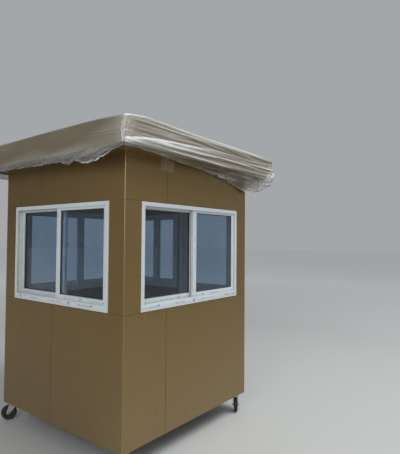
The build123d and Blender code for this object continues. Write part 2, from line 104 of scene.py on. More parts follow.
class BoothColours(bpy.types.PropertyGroup):
    """Colours of the booth's materials."""

    cladding: colour_property("Cladding", "Bronze paint of the sheets", tone(142, 118, 76))
    # colour of the painted highlight along a folded corner
    cladding_fold_highlight: colour_property("Cladding edge", "Paint where a sheet is folded", tone(178, 156, 116))
    sealant: colour_property("Sealant", "Joint between two sheets", tone(96, 80, 54))
    # kept dark: partly painted shade inside the cabin
    lining: colour_property("Lining", "Boards inside the cabin", tone(66, 58, 52))
    floor: colour_property("Floor", "Vinyl on the deck", tone(80, 75, 70))
    frame_white: colour_property("Window white", "Powder coat of the frames", tone(208, 210, 208))
    tape: colour_property("Protective tape", "Film left on the profiles", tone(196, 207, 214))
    tape_marks: colour_property("Tape marks", "Marks printed on the tape", tone(84, 98, 132))
    rubber: colour_property("Rubber", "Gaskets and brush seals", tone(18, 18, 19))
    glass: colour_property("Glass", "Tint of one face of a pane", tone(186, 203, 218))
    fascia: colour_property("Fascia", "Sheets round the roof", tone(150, 138, 108))
    film: colour_property("Film", "Roof wrapping where it lies flat", tone(109, 99, 79))
    # colour of doubled film and of the painted highlights on its folds and crests
    film_fold_and_highlight: colour_property("Film folds", "Wrapping where it is doubled", tone(186, 186, 181))
    film_hem: colour_property("Film hem", "Single film that hangs free", tone(98, 98, 100))
    # colour of the painted brown shade where the flap hangs in front of the shaded wall
    film_flap_shade: colour_property("Film flap", "Film drawn in to the front wall", tone(98, 73, 50))
    steel: colour_property("Zinc", "Plated steel of the casters", tone(176, 178, 174))
    tyre: colour_property("Tyre", "Tread of the casters", tone(22, 21, 21))
    core: colour_property("Wheel core", "Moulded core of a caster's wheel", tone(30, 30, 31))
    chassis: colour_property("Chassis paint", "Base frame", tone(46, 44, 42))
    # also the colour of the painted floor light low on the cladding
    dust: colour_property("Dust", "Site dust low on the walls", tone(174, 158, 130))


class WindowSizes(bpy.types.PropertyGroup):
    """Sizes of the trims on the window and door profiles."""

    bead: length_property("Bead", "Width of a glazing bead", 0.005)
    gasket: length_property("Gasket", "Width of a gasket", 0.005)
    tape_edge: length_property("Bare edge", "Strip of a frame that the tape leaves bare", 0.008)
    soften: length_property("Profile rounding", "Rounding of the profiles' edges", 0.0012)


class FilmSizes(bpy.types.PropertyGroup):
    """Sizes of the wrapping on the roof."""

    lift: length_property("Lift", "Gap between the film and the fascia", 0.0022)
    puff: length_property("Puff", "How far the film stands off at the corners", 0.007)
    corner: length_property("Corner radius", "Roundness at the roof's corners", 0.026)
    edge: length_property("Edge radius", "Roundness along the roof's edges", 0.009)
    billow: length_property("Billow", "How high air lifts the film over the roof's edge", 0.026)
    streak: length_property("Streak depth", "Height of the long wrinkles", 0.0065)
    roll: length_property("Roll depth", "Height of the loose roll on the front", 0.012)
    crumple: length_property("Crumple depth", "Height of the bunched folds at the corner", 0.018)
    columns: IntProperty(name="Columns", description="Points round the roof", default=1000, min=80)
    cut: length_property("Cut size", "Side of the square of film before wrapping", 2.45)


class CasterSizes(bpy.types.PropertyGroup):
    """Sizes and counts of the casters' details."""

    soften: length_property("Plate rounding", "Rounding of the edges of plates and forks", 0.0008)
    ribs: IntProperty(name="Ribs", description="Ribs on each side of a wheel's core", default=8, min=3)


class StageSettings(bpy.types.PropertyGroup):
    """Floor, lights and camera."""

    floor: colour_property("Floor", "Studio floor", tone(192, 194, 192))
    far_floor: colour_property("Far floor", "Studio floor far from the lamps", tone(250, 250, 250))
    reach: length_property("Reach", "From the floor's middle to its sides", 60)
    backdrop: colour_property("Backdrop", "Even light all round", tone(214, 218, 222))
    ambient: FloatProperty(name="Ambient", description="Strength of the even light", default=0.55, min=0)
    key: FloatProperty(name="Key light", description="Soft light from above the front", default=500, min=0)
    tint: colour_property("Fill colour", "Colour of the light from the left", (1, 0.98, 0.95))
    fill: FloatProperty(name="Fill light", description="Share of the key from the left", default=0.5, min=0)
    lamp: length_property("Lamp size", "Side of a square lamp", 5)
    lens: FloatProperty(name="Lens", description="Focal length", default=33.73, unit="CAMERA")


def colours():
    """The colours that the user has set."""
    return bpy.context.scene.booth_colours


class Signal:
    """A shader value. Arithmetic on it adds Math nodes to its material."""

    def __init__(self, finish, socket):
        self.finish = finish
        self.socket = socket

    def math(self, operation, *others, clamp=False):
        """The result of a Math node whose first value is this signal."""
        settings = {"operation": operation, "use_clamp": clamp}
        return self.finish.node("Math", settings, dict(enumerate((self, *others))))

    def reflected(self, operation, other):
        """The result of a Math node whose second value is this signal."""
        return self.finish.node("Math", {"operation": operation}, {0: other, 1: self})

    def __add__(self, other):
        return self.math("ADD", other)

    def __sub__(self, other):
        return self.math("SUBTRACT", other)

    def __mul__(self, other):
        return self.math("MULTIPLY", other)

    def __truediv__(self, other):
        return self.math("DIVIDE", other)

    def __rsub__(self, other):
        return self.reflected("SUBTRACT", other)

    def __rtruediv__(self, other):
        return self.reflected("DIVIDE", other)

    __radd__ = __add__
    __rmul__ = __mul__

    def clamped(self):
        """The signal kept between 0 and 1."""
        return self.math("ADD", 0, clamp=True)

    def above(self, start, end):
        """0 below start, 1 above end and a straight ramp between them."""
        return self.finish.node("MapRange", {"clamp": True}, {0: self, 1: start, 2: end, 3: 0, 4: 1})


class Finish:
    """A material or world with one shader, and the methods that build its nodes."""

    def __init__(self, name, kind="materials", shader="Principled BSDF"):
        self.owner = getattr(bpy.data, kind).new(name)
        self.owner.use_nodes = True
        self.tree = self.owner.node_tree
        self.shader = self.tree.nodes[shader]

    def put(self, socket, value):
        """Link a signal to a socket, or set a plain value on it."""
        if isinstance(value, Signal):
            self.tree.links.new(value.socket, socket)
        elif socket.type == "RGBA" and len(value) == 3:
            socket.default_value = (*value, 1)
        else:
            socket.default_value = value

    def node(self, kind, settings=None, values=None, output=0):
        """Add a node: its settings first, then the values or links of its sockets."""
        node = self.tree.nodes.new("ShaderNode" + kind)
        for name, value in (settings or {}).items():
            setattr(node, name, value)
        for name, value in (values or {}).items():
            self.put(node.inputs[name], value)
        return Signal(self, node.outputs[output])

    def place(self, *scale):
        """The point in the frame's axes, with each coordinate multiplied by its scale."""
        point = self.node("TexCoord", output=3)
        if not scale:
            return point
        return self.node("VectorMath", {"operation": "MULTIPLY"}, {0: point, 1: scale})

    def axis(self, index):
        """One coordinate of the point: 0, 1 or 2."""
        return self.node("SeparateXYZ", values={0: self.place()}, output=index)

    def attribute(self, name):
        """A number that the mesh's points carry."""
        return self.node("Attribute", {"attribute_name": name}, output=2)

    def noise(self, scale, detail=4, stretch=(1, 1, 1), roughness=0.5, distortion=0):
        """Smooth noise from 0 to 1 over the frame's axes."""
        values = {
            "Vector": self.place(*stretch),
            "Scale": scale,
            "Detail": detail,
            "Roughness": roughness,
            "Distortion": distortion,
        }
        return self.node("TexNoise", values=values)

    def mix(self, low, high, share):
        """A colour between two others."""
        return self.node("Mix", {"data_type": "RGBA"}, {0: share, 6: low, 7: high}, output=2)

    def shade(self, colour, factor):
        """A colour made lighter or darker by a factor that varies."""
        grey = self.node("CombineColor", values={0: factor, 1: factor, 2: factor})
        settings = {"data_type": "RGBA", "blend_type": "MULTIPLY"}
        return self.node("Mix", settings, {0: 1, 6: colour, 7: grey}, output=2)

    def bump(self, height, distance, under=None):
        """Small relief, on top of another one where that is given."""
        values = {"Height": height, "Distance": distance, "Strength": 1}
        if under is not None:
            values["Normal"] = under
        return self.node("Bump", values=values)

    def clear_to_lamps(self, tint):
        """Let the light of lamps through the surface, to what is behind it."""
        solid = Signal(self, self.shader.outputs[0])
        clear = self.node("BsdfTransparent", values={"Color": tint})
        for_lamps = self.node("LightPath", output=1)
        mixed = self.node("MixShader", values={0: for_lamps, 1: solid, 2: clear})
        self.put(self.tree.nodes["Material Output"].inputs["Surface"], mixed)

    def surface(self, **values):
        """Set the shader's sockets, whose names are given with underscores for spaces."""
        for name, value in values.items():
            self.put(self.shader.inputs[name.replace("_", " ")], value)
        return self.owner


def cladding_finish(name):
    """Satin bronze paint on folded sheets: soft cloudiness, handling marks, a painted highlight along the
    folded corners and painted light from the floor low down.
    """
    skin = Finish(name)
    palette = colours()
    height = skin.axis(2)
    across_x = skin.axis(0).math("ABSOLUTE")
    across_y = skin.axis(1).math("ABSOLUTE")
    to_fold = (HALF_WIDTH - across_x).math("MAXIMUM", HALF_DEPTH - across_y)
    # painted highlight along each folded corner, made stronger towards the top
    folds_and_painted_light = (1 - to_fold.above(0.003, 0.010)) * (0.15 + 0.55 * height.above(1.2, 1.95))
    cloud = skin.noise(1.1, detail=3)
    rolled = skin.noise(3, detail=2, stretch=(14, 14, 0.5))
    smudge = skin.noise(7, detail=6, roughness=0.62).above(0.56, 0.8)
    splash = 1 - height.above(WALL_BOTTOM, WALL_BOTTOM + 0.45)
    dust = splash * skin.noise(16, detail=6).above(0.35, 0.75)
    # painted light from the floor: the lowest 0.9 m lighter and greyer, towards the dust colour
    painted_floor_light = 1 - height.above(WALL_BOTTOM, WALL_BOTTOM + 0.9)
    level = 0.90 + 0.13 * cloud + 0.05 * rolled - 0.05 * smudge
    paint = skin.shade(skin.mix(palette.cladding, palette.cladding_fold_highlight, folds_and_painted_light * 0.75), level)
    dents = skin.bump(skin.noise(2.2, detail=1), 0.0035)
    return skin.surface(
        Base_Color=skin.mix(paint, palette.dust, (0.25 * painted_floor_light + 0.14 * dust).clamped()),
        Metallic=0.86,
        Roughness=0.34 + 0.08 * cloud + 0.16 * smudge + 0.12 * dust - 0.1 * folds_and_painted_light,
        Coat_Weight=0.06,
        Coat_Roughness=0.25,
        Normal=skin.bump(skin.noise(900, detail=2), 0.00004, under=dents),
    )


def painted_finish(name, colour, roughness=0.45, grain=0.00006, metallic=0.0, wear=0.12):
    """Paint with a fine peel, light dust and small changes of tone."""
    skin = Finish(name)
    cloud = skin.noise(5, detail=5)
    speck = skin.noise(60, detail=5).above(0.58, 0.78)
    return skin.surface(
        Base_Color=skin.shade(colour, 1 - wear / 2 + wear * cloud - 0.5 * wear * speck),
        Metallic=metallic,
        Roughness=roughness + 0.1 * cloud + 0.1 * speck,
        Normal=skin.bump(skin.noise(700, detail=2), grain),
    )


def lining_finish(name):
    """Matt boards inside, with faint upright strokes; their dark colour is partly painted shade of the
    closed cabin.
    """
    skin = Finish(name)
    stroke = skin.noise(2, detail=4, stretch=(30, 30, 1))
    scuff = skin.noise(9, detail=6).above(0.55, 0.75)
    return skin.surface(
        Base_Color=skin.shade(colours().lining, 0.88 + 0.16 * stroke - 0.12 * scuff),
        Roughness=0.55 + 0.15 * scuff,
        Normal=skin.bump(stroke, 0.0003),
    )


def floor_finish(name):
    """Speckled vinyl with trodden dust."""
    skin = Finish(name)
    speckle = skin.noise(260, detail=2).above(0.45, 0.6)
    dust = skin.noise(3.5, detail=7).above(0.4, 0.75)
    colour = skin.mix(colours().floor, tone(128, 124, 118), speckle * 0.35)
    return skin.surface(
        Base_Color=skin.mix(colour, tone(150, 140, 122), dust * 0.4),
        Roughness=0.42 + 0.3 * dust,
        Normal=skin.bump(speckle, 0.0002),
    )


def white_finish(name):
    """White powder coat: a fine orange peel, site dust, and grey painted shade, blotched like grime, on
    what sits deeper in the frame.
    """
    skin = Finish(name)
    cloud = skin.noise(4, detail=5)
    dust = skin.noise(22, detail=6).above(0.5, 0.8)
    outwards = skin.axis(0).math("ABSOLUTE").math("MAXIMUM", skin.axis(1).math("ABSOLUTE"))
    # painted shade: what lies deeper in the wall, such as the inner sash, is greyed
    deep = (HALF_WIDTH - outwards).above(0.030, 0.037)
    grime_and_shade = deep * (0.10 + 0.35 * skin.noise(12, detail=5))
    colour = skin.mix(colours().frame_white, tone(160, 150, 132), dust * 0.25)
    colour = skin.mix(colour, tone(104, 100, 94), grime_and_shade)
    return skin.surface(
        Base_Color=skin.shade(colour, 0.94 + 0.08 * cloud),
        Roughness=0.33 + 0.2 * dust + 0.2 * grime_and_shade,
        Coat_Weight=0.1,
        Normal=skin.bump(skin.noise(500, detail=2), 0.00008),
    )


def tape_finish(name):
    """Protective tape: thin, slightly loose, with rows of plain dashes and blocks."""
    skin = Finish(name)
    repeat, dash, first_block, last_block = 0.33, 0.012, 0.66, 0.76
    run, rise, ink = (skin.attribute(layer) for layer in ("run", "rise", "ink"))
    repeats, dash_count = run / repeat, run / dash
    turn = repeats.math("FRACT")
    chance = skin.node("TexWhiteNoise", {"noise_dimensions": "1D"}, {"W": dash_count.math("FLOOR")})
    drawn = dash_count.math("FRACT").above(0.2, 0.3) * chance.above(0.3, 0.4)
    row = rise.above(0.30, 0.34) - rise.above(0.56, 0.60)
    dashes = row * turn.math("LESS_THAN", 0.52) * drawn
    in_block = turn.math("GREATER_THAN", first_block) * turn.math("LESS_THAN", last_block)
    block_row = rise.above(0.18, 0.22) - rise.above(0.74, 0.78)
    split = 1 - (rise.above(0.44, 0.46) - rise.above(0.50, 0.52))
    stroke = ((turn - first_block) / 0.05).math("FRACT").above(0.25, 0.3)
    every_other = repeats.math("FLOOR").math("MODULO", 2).above(0.4, 0.6)
    blocks = in_block * block_row * split * stroke * every_other
    marks = ((dashes * 0.75 + blocks) * (0.55 + 0.45 * skin.noise(9, detail=2)) * ink).clamped()
    bubble = skin.noise(120, detail=2).above(0.6, 0.75)
    colour = skin.mix(colours().tape, colours().tape_marks, marks)
    return skin.surface(
        Base_Color=skin.mix(colour, tone(246, 248, 252), bubble * 0.5),
        Roughness=0.2 + 0.15 * bubble,
        Coat_Weight=0.4,
        Normal=skin.bump(skin.noise(45, detail=3), 0.0006, under=skin.bump(bubble, 0.0003)),
    )


def glass_finish(name):
    """Clear sheet glass with a faint tint and dusty corners, which lets the lamps light the cabin."""
    skin = Finish(name)
    dust = skin.noise(6, detail=6).above(0.45, 0.9)
    skin.clear_to_lamps(colours().glass)
    return skin.surface(
        Base_Color=colours().glass,
        Roughness=0.015 + 0.05 * dust,
        Transmission_Weight=1,
        IOR=1.45,
    )


def film_finish(name):
    """Plastic film: beige where it lies on the fascia, white in its folds with painted highlights and
    glints, thin in its hem, and painted brown shade on the flap drawn in to the front wall.
    """
    skin = Finish(name)
    palette = colours()
    folds_and_painted_light, cover, flap_shade = (skin.attribute(layer) for layer in ("folds_and_painted_light", "cover", "flap_shade"))
    crease = skin.noise(22, detail=5, stretch=(0.35, 0.35, 4), roughness=0.6, distortion=0.4)
    cross = skin.noise(55, detail=5, distortion=1.2)
    glint = skin.noise(70, detail=4, distortion=2.5).above(0.58, 0.68) * folds_and_painted_light.above(0.35, 0.9)
    cloud = skin.noise(2.6, detail=3, stretch=(1, 1, 2.5))
    lying = skin.shade(palette.film, 0.86 + 0.28 * cloud)
    lying = skin.mix(lying, palette.film_fold_and_highlight, (folds_and_painted_light * 0.9 + 0.3 * glint).clamped())
    # painted shade: the flap drawn in to the front wall takes the shaded brown of the wall behind it
    hanging = skin.mix(palette.film_hem, palette.film_flap_shade, flap_shade)
    hanging = skin.mix(hanging, palette.film_fold_and_highlight, (folds_and_painted_light * 0.95 + 0.4 * glint).clamped())
    # painted glints: the whitest folds and sparkles are mixed to near-white
    bright = folds_and_painted_light.above(0.72, 1.0) * (0.35 + 0.65 * glint)
    solid = 0.55 - 0.15 * flap_shade + 0.45 * cover + 0.6 * folds_and_painted_light + 0.3 * glint
    return skin.surface(
        Base_Color=skin.mix(skin.mix(hanging, lying, cover), tone(232, 236, 240), bright),
        Alpha=solid.clamped().math("MAXIMUM", cover.above(0.5, 0.9)),
        Roughness=0.42 - 0.14 * crease,
        Coat_Weight=0.3,
        Coat_Roughness=0.15,
        Normal=skin.bump(cross, 0.0008, under=skin.bump(crease, 0.0025)),
    )


def strip_finish(name):
    """Clear tape: a faint pale veil, a little cloudy."""
    skin = Finish(name)
    cloud = skin.noise(18, detail=3).above(0.3, 0.8)
    return skin.surface(
        Base_Color=tone(206, 190, 166),
        Alpha=0.10 + 0.10 * cloud,
        Roughness=0.3 + 0.1 * cloud,
        Coat_Weight=0.3,
    )


def zinc_finish(name):
    """Zinc plate, clouded and scuffed."""
    skin = Finish(name)
    spangle = skin.node("TexVoronoi", values={"Vector": skin.place(), "Scale": 90}, output=1)
    cloud = skin.noise(30, detail=6)
    grime_and_shade = skin.noise(14, detail=6).above(0.48, 0.8)
    level = skin.node("SeparateColor", values={0: spangle}) * 0.12 + 0.82 + 0.1 * cloud
    return skin.surface(
        Base_Color=skin.mix(skin.shade(colours().steel, level), tone(62, 54, 46), grime_and_shade * 0.5),
        Metallic=0.85,
        Roughness=0.32 + 0.25 * cloud + 0.2 * grime_and_shade,
        Normal=skin.bump(cloud, 0.0002),
    )


def tread_finish(name):
    """Black tread, greyed by dust where it rolls."""
    skin = Finish(name)
    dust = skin.noise(40, detail=6).above(0.42, 0.72)
    return skin.surface(
        Base_Color=skin.mix(colours().tyre, tone(74, 70, 64), dust * 0.35),
        Roughness=0.55 + 0.25 * dust,
        Normal=skin.bump(skin.noise(150, detail=4), 0.0004),
    )


FINISHES = {
    "bronze cladding": cladding_finish,
    "inner lining": lining_finish,
    "vinyl floor": floor_finish,
    "white powder coat": white_finish,
    "profile tape": tape_finish,
    "window glass": glass_finish,
    "wrapping film": film_finish,
    "clear strip": strip_finish,
    "zinc plate": zinc_finish,
    "wheel tread": tread_finish,
}
# Plain finishes: a colour and what differs from ordinary paint
PAINTS = {
    "joint sealant": ("sealant", {"roughness": 0.6}),
    "black rubber": ("rubber", {"roughness": 0.6, "grain": 0.0001, "wear": 0.3}),
    "fascia sheet": ("fascia", {"roughness": 0.4, "metallic": 0.2}),
    "wheel core": ("core", {"roughness": 0.5, "grain": 0.0001, "wear": 0.35}),
    "chassis paint": ("chassis", {"roughness": 0.5}),
}


def finish(name):
    """The finish of that name, made at its first use."""
    made = bpy.data.materials.get(name)
    if made:
        return made
    if name in FINISHES:
        return FINISHES[name](name)
    colour, differences = PAINTS[name]
    return painted_finish(name, getattr(colours(), colour), **differences)


def dress(names, finish_name):
    """Give CAD nodes a finish."""
    for name in names:
        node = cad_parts[name]
        node.data.materials.clear()
        node.data.materials.append(finish(finish_name))


def soften(names, width):
    """Round the sharp edges of CAD nodes in the picture, without a change to their meshes."""
    for name in names:
        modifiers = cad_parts[name].modifiers
        weld = modifiers.new("join faces", "WELD")
        weld.merge_threshold = 0.00002
        bevel = modifiers.new("soft edges", "BEVEL")
        bevel.width = width
        bevel.segments = 2
        bevel.angle_limit = math.radians(40)


def side_axes(side):
    """Axes of a side: x to the right seen from outside, y up from the ground, z out from its face."""
    turn = SIDES.index(side)
    half = HALF_DEPTH if turn % 2 == 0 else HALF_WIDTH
    face = Matrix(((1, 0, 0, 0), (0, 0, -1, -half), (0, 1, 0, 0), (0, 0, 0, 1)))
    return Matrix.Rotation(math.radians(90 * turn), 4, "Z") @ face


def side_box(side, node):
    """A node's lowest and highest corners in the axes of a side."""
    inverse = side_axes(side).inverted()
    corners = [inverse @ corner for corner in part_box(node)]
    return Vector(map(min, *corners)), Vector(map(max, *corners))


class Shape:
    """A mesh in the making, drawn in axes of its own and placed in the frame by them."""

    def __init__(self, axes=None):
        self.axes = axes or Matrix.Identity(4)
        self.mesh = bmesh.new()

    def point(self, *place):
        """Add a point."""
        return self.mesh.verts.new(self.axes @ Vector(place))

    def block(self, low, high, round_by=0.0008):
        """A block with rounded edges."""
        size = [b - a for a, b in zip(low, high)]
        middle = Vector((a + b) / 2 for a, b in zip(low, high))
        place = self.axes @ Matrix.Translation(middle) @ Matrix.Diagonal((*size, 1))
        made = bmesh.ops.create_cube(self.mesh, size=1, matrix=place)["verts"]
        edges = {edge for vert in made for edge in vert.link_edges}
        reach = min(round_by, min(size) * 0.4)
        bmesh.ops.bevel(self.mesh, geom=list(edges), offset=reach, segments=2, affect="EDGES", profile=0.5)

    def band(self, one, other):
        """Faces between two closed loops of as many points."""
        for i in range(len(one)):
            j = (i + 1) % len(one)
            self.mesh.faces.new((one[i], one[j], other[j], other[i]))

    def ring(self, low, high, profile):
        """A closed profile of (inset, height) points carried round a rectangle with mitred corners."""
        loops = []
        for inset, height in profile:
            left, right = low[0] + inset, high[0] - inset
            bottom, top = low[1] + inset, high[1] - inset
            corners = ((left, bottom), (right, bottom), (right, top), (left, top))
            loops.append([self.point(*corner, height) for corner in corners])
        for one, other in zip(loops, loops[1:] + loops[:1]):
            self.band(one, other)

    def lathe(self, profile, centre, segments):
        """A profile of (radius, height) points turned about the axis through a centre."""
        place = self.axes @ Matrix.Translation(Vector(centre))
        rings = []
        for radius, height in profile:
            count = segments if radius > 0 else 1
            turns = [2 * math.pi * i / count for i in range(count)]
            points = [Vector((radius * math.cos(turn), radius * math.sin(turn), height)) for turn in turns]
            rings.append([self.mesh.verts.new(place @ point) for point in points])
        for one, other in zip(rings, rings[1:]):
            for i in range(segments):
                near = (one[i % len(one)], one[(i + 1) % len(one)])
                far = (other[(i + 1) % len(other)], other[i % len(other)])
                self.mesh.faces.new(dict.fromkeys((*near, *far)))

    def data(self, name):
        """The finished mesh."""
        data = bpy.data.meshes.new(name)
        self.mesh.to_mesh(data)
        self.mesh.free()
        return data

    def piece(self, name, finish_name, body="booth", slot=None):
        """The finished mesh as an object that rides on a body."""
        bmesh.ops.recalc_face_normals(self.mesh, faces=self.mesh.faces)
        return add_piece(name, self.data(name), finish_name, body)


def add_object(name, data):
    """Add a mesh, lamp or camera to the scene as an object."""
    added = bpy.data.objects.new(name, data)
    bpy.context.scene.collection.objects.link(added)
    return added


def add_piece(name, data, finish_name, body="booth", crease=35):
    """Add a mesh to the scene as a smooth-shaded piece that rides on a body."""
    data.shade_smooth()
    data.set_sharp_from_angle(angle=math.radians(crease))
    data.materials.append(finish(finish_name))
    piece = add_object(name, data)
    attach(piece, body)
    return piece


class BoothOperator(bpy.types.Operator):
    """Shared options of the booth's operators"""

    bl_options = {"REGISTER", "UNDO"}


class BOOTH_OT_cladding(BoothOperator):
    """Finish the cladding and fill the joints between its sheets"""

    bl_idname = "booth.cladding"
    bl_label = "Cladding"

    def execute(self, context):
        dress(("cladding_lower", "cladding_middle", "cladding_upper", "roof_soffit"), "bronze cladding")
        joints = Shape()
        sheets = [side_box("front", f"cladding_{level}") for level in ("lower", "middle", "upper")]
        for side in SIDES:
            joints.axes = side_axes(side)
            for below, above in zip(sheets, sheets[1:]):
                joint(joints, side, 0, (below[1].y, above[0].y))
        for side, across in upright_seams():
            joints.axes = side_axes(side)
            for low, high in sheets:
                joint(joints, side, 1, (across - SEAM_GAP / 2, across + SEAM_GAP / 2), (low.y, high.y))
        joints.piece("sheet_joints", "joint sealant", slot="cladding")
        return {"FINISHED"}


def upright_seams():
    """The upright joints, side by side round the cabin, from the width of the sheets."""
    on_front = SHEET_WIDTH - LEFT_SEAM
    on_back = SHEET_WIDTH - (2 * HALF_DEPTH - LEFT_SEAM)
    return (
        ("front", on_front - HALF_WIDTH),
        ("left", HALF_DEPTH - LEFT_SEAM),
        ("back", HALF_WIDTH - on_back),
        ("right", HALF_DEPTH - (SHEET_WIDTH - (2 * HALF_WIDTH - on_back))),
        ("right", SHEET_WIDTH - (2 * HALF_WIDTH - on_front) - HALF_DEPTH),
    )


def joint(joints, side, axis, gap, reach=None):
    """Sealant in a joint of a side, level or upright, left out where a window or the door cuts it."""
    sunk, back, lap, rounding = 0.0014, 0.0038, 0.0005, 0.0002
    low, high = side_box(side, "cladding_upper")
    spans = [reach or (low.x + sunk, high.x - sunk)]
    for node in cut_by(side):
        cut_low, cut_high = side_box(side, node)
        if cut_low[1 - axis] < gap[0] and cut_high[1 - axis] > gap[1]:
            spans = [part for span in spans for part in without(span, cut_low[axis], cut_high[axis])]
    for start, end in spans:
        ends = ((start, gap[0] - lap), (end, gap[1] + lap))
        low, high = ((x, y) if axis == 0 else (y, x) for x, y in ends)
        joints.block((*low, -back), (*high, -sunk), rounding)


def cut_by(side):
    """The frames that stand in a side."""
    frames = [f"{side}_window_frame"]
    return [*frames, "door_frame"] if side == "right" else frames


def without(span, low, high, shortest=0.001):
    """What is left of a span when a stretch is cut out of it."""
    parts = ((span[0], min(low, span[1])), (max(high, span[0]), span[1]))
    return [part for part in parts if part[1] - part[0] > shortest]


class BOOTH_OT_interior(BoothOperator):
    """Finish the wall cores, ceiling, floor, joists and base frame"""

    bl_idname = "booth.interior"
    bl_label = "Interior and chassis"

    def execute(self, context):
        walls = [f"{side}_wall_{part}" for side in SIDES for part in ("lower", "piers", "header")]
        dress([*walls, "door_header", "ceiling", "roof_joists", "roof_deck"], "inner lining")
        dress(["floor_deck"], "vinyl floor")
        dress([f"chassis_{part}" for part in ("side_rails", "end_rails", "cross_members")], "chassis paint")
        return {"FINISHED"}


class Pane:
    """One light of a window or door: its opening, and the faces of its profiles and of its glass."""

    def __init__(self, low, high, faces, glass):
        self.low = low
        self.high = high
        self.faces = faces
        self.glass = glass

    def trims(self, beads, gaskets, sizes):
        """Add the bead and the gasket round both faces of the glass."""
        play, recess, seat = 0.0003, 0.0012, 0.0004
        land, bead_lip = 0.0016, 0.0032
        gap, gasket_back, gasket_crown, gasket_lip = 0.0001, 0.0028, 0.0034, 0.0012
        for face, glass, out in zip(self.faces, self.glass, (1, -1)):
            top = face - out * recess
            foot = glass + out * seat
            beads.ring(self.low, self.high, (
                (play, foot), (play, top), (play + land, top),
                (sizes.bead, foot + out * bead_lip), (sizes.bead, foot),
            ))
            start, end = sizes.bead + gap, sizes.bead + sizes.gasket
            gaskets.ring(self.low, self.high, (
                (start, foot), (start, foot + out * gasket_back),
                ((start + end) / 2, foot + out * gasket_crown), (end, foot + out * gasket_lip), (end, foot),
            ))


class Sash:
    """A sash in the axes of its side: its two corners and those of its opening."""

    def __init__(self, low, high, opening):
        self.low = low
        self.high = high
        self.open_low = (opening[0], low.y + BOTTOM_RAIL)
        self.open_high = (opening[1], high.y - TOP_RAIL)

    def pane(self):
        """The light of the sash."""
        middle = (self.low.z + self.high.z) / 2
        faces = (self.high.z, self.low.z)
        glass = (middle + GLASS_THICK / 2, middle - GLASS_THICK / 2)
        return Pane(self.open_low, self.open_high, faces, glass)


def window_sashes(side):
    """The two sashes of a side's window, the outer one, on the right seen from outside, first."""
    frame_low, frame_high = side_box(side, f"{side}_window_frame")
    low, high = side_box(side, f"{side}_window_sashes")
    middle = (frame_low.x + frame_high.x) / 2
    outer = Sash(
        Vector((middle - OUTER_STILE / 2, low.y, high.z - SASH_THICK)), high,
        (middle + OUTER_STILE / 2, high.x - STILE),
    )
    inner = Sash(
        low, Vector((middle + INNER_LAP, high.y, low.z + SASH_THICK)),
        (low.x + STILE, middle + INNER_LAP - INNER_STILE),
    )
    return outer, inner


def tape_strip(shape, start, along, width, face, offset, ink):
    """A strip of tape on a profile's face: where it starts, its length along x or y, and its width."""
    thick, pitch, edge = 0.0003, 0.006, 0.02
    ripple, ripples_per_metre, blister, blisters_per_metre = 0.0006, 14, 0.0005, 40
    layers = shape.mesh.verts.layers.float
    run, rise, marks = (layers.get(name) or layers.new(name) for name in ("run", "rise", "ink"))
    length = abs(along[0] + along[1])
    upright = abs(along[1]) > abs(along[0])
    steps = max(2, round(length / pitch))
    rings = []
    for i in range(steps + 1):
        share = i / steps
        x, y = start[0] + along[0] * share, start[1] + along[1] * share
        wave = ripple * noise.noise((x * ripples_per_metre, y * ripples_per_metre, offset))
        bow = blister * max(0, noise.noise((x * blisters_per_metre, y * blisters_per_metre, offset + 9)))
        ring = []
        for across, height in ((0, 0), (edge, thick), (0.5, thick + bow), (1 - edge, thick), (1, 0)):
            reach = width * across + wave * (1 if across in (0, edge) else -1)
            place = (x - reach, y, face + height) if upright else (x, y + reach, face + height)
            vert = shape.point(*place)
            vert[run], vert[rise], vert[marks] = offset + share * length, across, ink
            ring.append(vert)
        rings.append(ring)
    for one, other in zip(rings, rings[1:]):
        shape.band(one, other)
    shape.mesh.faces.new(rings[0])
    shape.mesh.faces.new(list(reversed(rings[-1])))


def frame_tapes(shape, low, high, face, widths, inks, offset):
    """Tape on the members of a frame: widths and inks of its left, right, top and bottom ones."""
    left, right, top, bottom = widths
    gap, top_print, left_print, right_print = 0.001, 3.1, 6.3, 8.3
    across = high[0] - low[0]
    up = high[1] - low[1] - top - bottom - 2 * gap
    foot = low[1] + bottom + gap
    tape_strip(shape, (low[0], low[1]), (across, 0), bottom, face, offset, inks[3])
    tape_strip(shape, (low[0], high[1] - top), (across, 0), top, face, offset + top_print, inks[2])
    tape_strip(shape, (low[0] + left, foot), (0, up), left, face, offset + left_print, inks[0])
    tape_strip(shape, (high[0], foot), (0, up), right, face, offset + right_print, inks[1])


